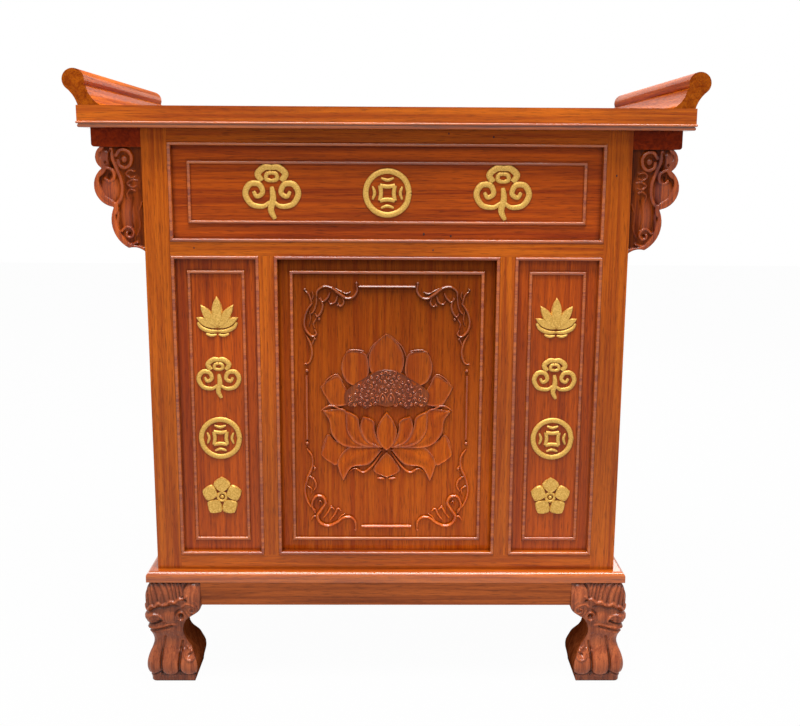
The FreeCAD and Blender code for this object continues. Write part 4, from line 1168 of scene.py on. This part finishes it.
LEG_CUTS = [
    stroke([(-4, 131), (8, 134), (20, 142), (34, 142), (46, 146), (58, 145)], 2.0, -2.4),
    stroke([(-2, 113), (10, 112), (20, 113.5), (29, 118)], 1.7, -3.6),
    stroke([(-2, 99), (15, 98.5), (30, 102), (46, 106)], 1.5, -2.8),
    stroke([(8, 117), (16, 119), (24, 117)], 1.2, -1.4),
    stroke([(62, 127), (63, 127.5)], 2.3, -3.6),
    stroke([(50, 118), (52, 130), (60, 139)], 1.6, -2.2),
    stroke([(74, 51), (76, 52)], 2.6, -3.6),
    stroke([(73, 186), (67, 174), (66, 164), (72, 156)], 1.8, -3.2),
    stroke([(92, 184), (88, 168), (90, 152)], 1.2, -1.4),
    stroke([(57, 12), (56, 34), (59, 56), (62, 74)], 2.1, -3.4),
    stroke([(25, 12), (24, 40), (28, 66), (32, 84)], 1.9, -2.8),
    stroke([(90, 20), (92, 40), (90, 56)], 1.8, -1.6),
    stroke([(-3, 17), (10, 14), (22, 18), (30, 14), (41, 12.5), (51, 14.5), (57, 19), (65, 14),
            (75, 12.5), (85, 15), (92, 19)], 1.7, -3.4),
]
print("leg strokes", len(LEG_STROKES), "cuts", len(LEG_CUTS))

# %% Height of the leg's carving
# the share of a swelling that is left under a ridge, and then millimetres
SWELLING_UNDER_RIDGE = 0.55
FLUTE_PITCH = 8.2
FLUTE_HEIGHT = 3.2
FLUTE_SINK = 0.7    # the share of their height that the flutes are sunk by
MANE_MIDDLE = 150.0
MANE_EDGE = (69.0, 65.0)
SLAB_TOP = (9.0, 12.0)


def leg_height(along, z):
    """The carving's height on one outer face, from the distance along it and the height."""
    total = np.zeros(len(z))
    for swelling in LEG_SWELLINGS:
        total = np.maximum(total, swelling(along, z))
    ridges = np.zeros(len(z))
    for ridge in LEG_STROKES:
        ridges = np.maximum(ridges, ridge(along, z))
    total = np.maximum(total, total * SWELLING_UNDER_RIDGE + ridges)
    for groove in LEG_CUTS:
        total += groove(along, z)
    brow_line = smooth_line(BROW, 40)
    brow = np.interp(along, brow_line[:, 0], brow_line[:, 1])
    rise = z - MANE_MIDDLE
    lean = 0.5 * rise - 9.0 * np.sin(rise / 24.0) + 3.0 * np.sin(along / 9.0)
    wave = np.abs(np.sin(np.pi * (along + lean) / FLUTE_PITCH)) ** 0.8
    flutes = FLUTE_HEIGHT * (wave - FLUTE_SINK)
    mane = soft(z, brow + 2.0, brow + 6.0) * soft(along, *MANE_EDGE)
    return (total * (1 - mane) + flutes * mane) * soft(z, *SLAB_TOP)


print("leg carving ready")


# %% Carve one leg
LEG_VOXEL = 1.15 * MM
LEG_CORNER_RADIUS = 9.0
CORNER_CUT = 0.2929    # the share of its radius that a round corner cuts away
LEG_TOP = (189.5, 187.0)
# painted shade: carved faces are darker in the cuts, and the inner flanks darker all over
LEG_FACE = 0.66
LEG_GAIN = 0.16
SHADED_LEG_INSIDE = 0.4

leg = sawn_blank("leg_front_left", "leg_front_left_carved", LEG_VOXEL)
rows = points_of(leg)
normals = normals_of(leg)
leg_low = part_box("leg_front_left")[0]
across = (rows[:, 0] - leg_low.x) / MM
deep = (rows[:, 1] - leg_low.y) / MM
z = rows[:, 2] / MM
to_front = soft(-normals[:, 1], 0.3, 0.8)
to_side = soft(-normals[:, 0], 0.3, 0.8)
heights = np.round(z)
inset = np.zeros(len(z))
for level in np.unique(heights):
    here = heights == level
    inset[here] = min(across[here].min(), deep[here].min())
corner_run = np.clip(1 - np.maximum(across - inset, deep - inset) / LEG_CORNER_RADIUS, 0, 1)
outer_side = (to_front > 0) | (to_side > 0)
rounding = CORNER_CUT * LEG_CORNER_RADIUS * corner_run ** 2 * outer_side
front_carving = leg_height(across, z) * to_front
side_carving = leg_height(deep, z) * to_side
below_top = soft(z, *LEG_TOP)
rows[:, 0] += (rounding - side_carving * below_top) * MM
rows[:, 1] += (rounding - front_carving * below_top) * MM
put_points(leg, rows)
# painted shade: darker cuts on the outer faces, and darker inner flanks
surface = np.where(outer_side, LEG_FACE + LEG_GAIN * (front_carving + side_carving), SHADED_LEG_INSIDE)
mark_shade_and_polish(leg, surface, np.maximum(to_front, to_side))
varnish(leg, woods["leg"])
pick(leg)
bpy.ops.object.shade_smooth()
print("leg faces", len(leg.data.polygons))

# %% Four legs
for corner in corners:
    piece = leg
    if corner != "front_left":
        piece = reflected(leg, f"leg_{corner}_carved", *MIRRORS[corner])
    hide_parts(f"leg_{corner}")
    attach(piece, "cabinet")
    print("placed", piece.name)

# %% [markdown]
# ## Gilt ornaments
#
# Gold clouds, coins, lotuses and blossoms fill the frieze and the two narrow boards. They are
# cut from thin wood with rounded edges, so they are drawn with the same petals and scrolls
# as the carving, but thicker.

# %% Ornament strokes
GILT_HEIGHT = 2.48
GILT_LIFT = 0.8 * MM


def gilt_stroke(points, radius, x, z, size, mirror=1, tips=0.5):
    """One brush-like stroke of an ornament; its points are shares of the ornament's width."""
    line = [(x + mirror * size * px, z + size * pz) for px, pz in points]
    return scroll(line, radius * size, flat=GILT_HEIGHT / (radius * size), tips=tips,
                  raised=0.0, sides=14, ridge=2.0, face=PANEL_FACE - GILT_LIFT)


def gilt_petal(x, z, size, base, degrees, length, width, level):
    """One raised petal from a base point, leaning by an angle from straight up."""
    turn = math.radians(degrees)
    lines = []
    for side in (-1, 1):
        line = []
        for along, half in ((0, 0), (0.25, 0.36), (0.55, 0.5), (0.82, 0.3), (1, 0)):
            a, w = along * length, side * half * width
            line.append((x + size * (base[0] + w * math.cos(turn) + a * math.sin(turn)),
                         z + size * (base[1] - w * math.sin(turn) + a * math.cos(turn))))
        lines.append(line)
    return petal(*lines, level, crown=0.7, lip=0.5, rows=16, columns=10)


print("gilt strokes and petals ready")


# %% Clouds and coins
CLOUD_STROKES = [
    # the stroke, its radius and how thick its tips stay
    ([(0.03, -0.16), (0.16, -0.24), (0.36, -0.2), (0.46, -0.02), (0.38, 0.14), (0.22, 0.14),
      (0.16, 0.0), (0.26, -0.07), (0.32, 0.02)], 0.055, 0.5),
    ([(0.17, 0.2), (0.24, 0.32), (0.12, 0.43), (0.0, 0.43)], 0.06, 0.8),
    ([(0.0, 0.2), (0.09, 0.23), (0.08, 0.32), (0.0, 0.34)], 0.04, 0.8),
]
CLOUD_TAIL = [(0.0, 0.1), (0.02, -0.1), (-0.02, -0.3), (0.05, -0.46)]
COIN_HOLE = [(-0.15, 0.15), (0.0, 0.13), (0.15, 0.15)]
COIN_ARC = [(-0.13, 0.3), (0.0, 0.26), (0.13, 0.3)]


def circle(radius, count):
    """Points round a circle, with the last on the first."""
    return [(radius * math.cos(a), radius * math.sin(a)) for a in np.linspace(0, 2 * math.pi, count)]


def cloud(x, z, size):
    """A cloud head of three scrolls over a tapering tail."""
    parts = [gilt_stroke(points, radius, x, z, size, mirror, tips)
             for mirror in (-1, 1) for points, radius, tips in CLOUD_STROKES]
    parts.append(gilt_stroke(CLOUD_TAIL, 0.06, x, z, size))
    return parts


def coin(x, z, size):
    """A round coin with a square hole between a rim and four short arcs."""
    parts = [gilt_stroke(circle(0.44, 13), 0.06, x, z, size, tips=1.0)]
    for quarter in range(4):
        c, s = math.cos(quarter * math.pi / 2), math.sin(quarter * math.pi / 2)
        hole, arc = ([(c * a - s * b, s * a + c * b) for a, b in line] for line in (COIN_HOLE, COIN_ARC))
        parts.append(gilt_stroke(hole, 0.045, x, z, size, tips=1.0))
        parts.append(gilt_stroke(arc, 0.035, x, z, size))
    return parts


print("cloud and coin ready")


# %% Lotuses and blossoms
LOTUS_BASE = (0, -0.26)
LOTUS_PETALS = [
    # how far it leans in degrees, its length, its width and its level
    (62, 0.54, 0.2, 2.2),
    (34, 0.66, 0.22, 2.8),
]
LEAF_OUTER = [(0.0, -0.32), (0.18, -0.32), (0.36, -0.24), (0.44, -0.12)]
LEAF_LOWER = [(0.02, -0.4), (0.14, -0.42), (0.26, -0.38)]


def lotus(x, z, size):
    """A lotus flower from the side, on two curled leaves."""
    parts = [gilt_petal(x, z, size, LOTUS_BASE, side * lean, length, width, level)
             for lean, length, width, level in LOTUS_PETALS for side in (-1, 1)]
    parts.append(gilt_petal(x, z, size, LOTUS_BASE, 0, 0.74, 0.26, 3.4))
    for mirror in (-1, 1):
        parts.append(gilt_stroke(LEAF_OUTER, 0.05, x, z, size, mirror))
        parts.append(gilt_stroke(LEAF_LOWER, 0.035, x, z, size, mirror))
    return parts


def blossom(x, z, size):
    """Five round petals about a raised eye."""
    parts = []
    for i in range(5):
        turn = math.radians(72 * i)
        base = (0.1 * math.sin(turn), 0.1 * math.cos(turn))
        parts.append(gilt_petal(x, z, size, base, 72 * i, 0.38, 0.4, 3.0))
    parts.append(gilt_stroke(circle(0.1, 9), 0.035, x, z, size, tips=1.0))
    parts.append(boss(x, z, 0.05 * size, 4.0))
    return parts


print("lotus and blossom ready")

# %% Place the ornaments
FRIEZE_LEVEL = 871.5
FRIEZE_SPACING = 193.0
FRIEZE_SIZE = 96.0
SIDE_PANEL_X = 290.0
SIDE_TOP = 660.5
SIDE_SPACING = 107.0
SIDE_SIZE = 76.0

groups = {
    "gilt_frieze": cloud(-FRIEZE_SPACING, FRIEZE_LEVEL, FRIEZE_SIZE)
    + coin(0, FRIEZE_LEVEL, FRIEZE_SIZE * 0.86)
    + cloud(FRIEZE_SPACING, FRIEZE_LEVEL, FRIEZE_SIZE),
}
for side, x in (("left", -SIDE_PANEL_X), ("right", SIDE_PANEL_X)):
    parts = []
    for i, motif in enumerate((lotus, cloud, coin, blossom)):
        parts += motif(x, SIDE_TOP - i * SIDE_SPACING, SIDE_SIZE)
    groups[f"gilt_{side}"] = parts
for name, parts in groups.items():
    piece = join(parts, f"{name}_gold")
    varnish(piece, gilding)
    pick(piece)
    bpy.ops.object.shade_smooth_by_angle(angle=SHARP_ANGLE)
    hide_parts(f"{name}_ornaments")
    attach(piece, "cabinet")
    print(name, len(piece.data.polygons), "faces")

# %% [markdown]
# ## Brads
#
# The beads and rails are pinned with thin headless nails, punched just under the varnish. They
# show as small dark dots on the front, and each is a shallow bead at its own place.

# %% Brads on the front
BRADS = [
    # the piece that holds it, millimetres across and up, and its radius
    ("front_top_rail", 101, 969, 1.3),
    ("front_top_rail", 175, 964, 1.5),
    ("post_front_right", 381, 902, 1.4),
    ("frieze_panel", 61.5, 803, 1.9),
    ("frieze_panel", 107, 800, 1.7),
    ("front_middle_rail", 77, 777, 1.3),
    ("front_middle_rail", -324, 779, 1.2),
]
BRAD_HEIGHT = 0.25

brads = join([boss(x, z, radius, BRAD_HEIGHT, face=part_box(node)[0].y, tall=1.3)
              for node, x, z, radius in BRADS], "front_brads")
varnish(brads, iron)
pick(brads)
bpy.ops.object.shade_smooth()
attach(brads, "cabinet")
print("brads", len(BRADS))
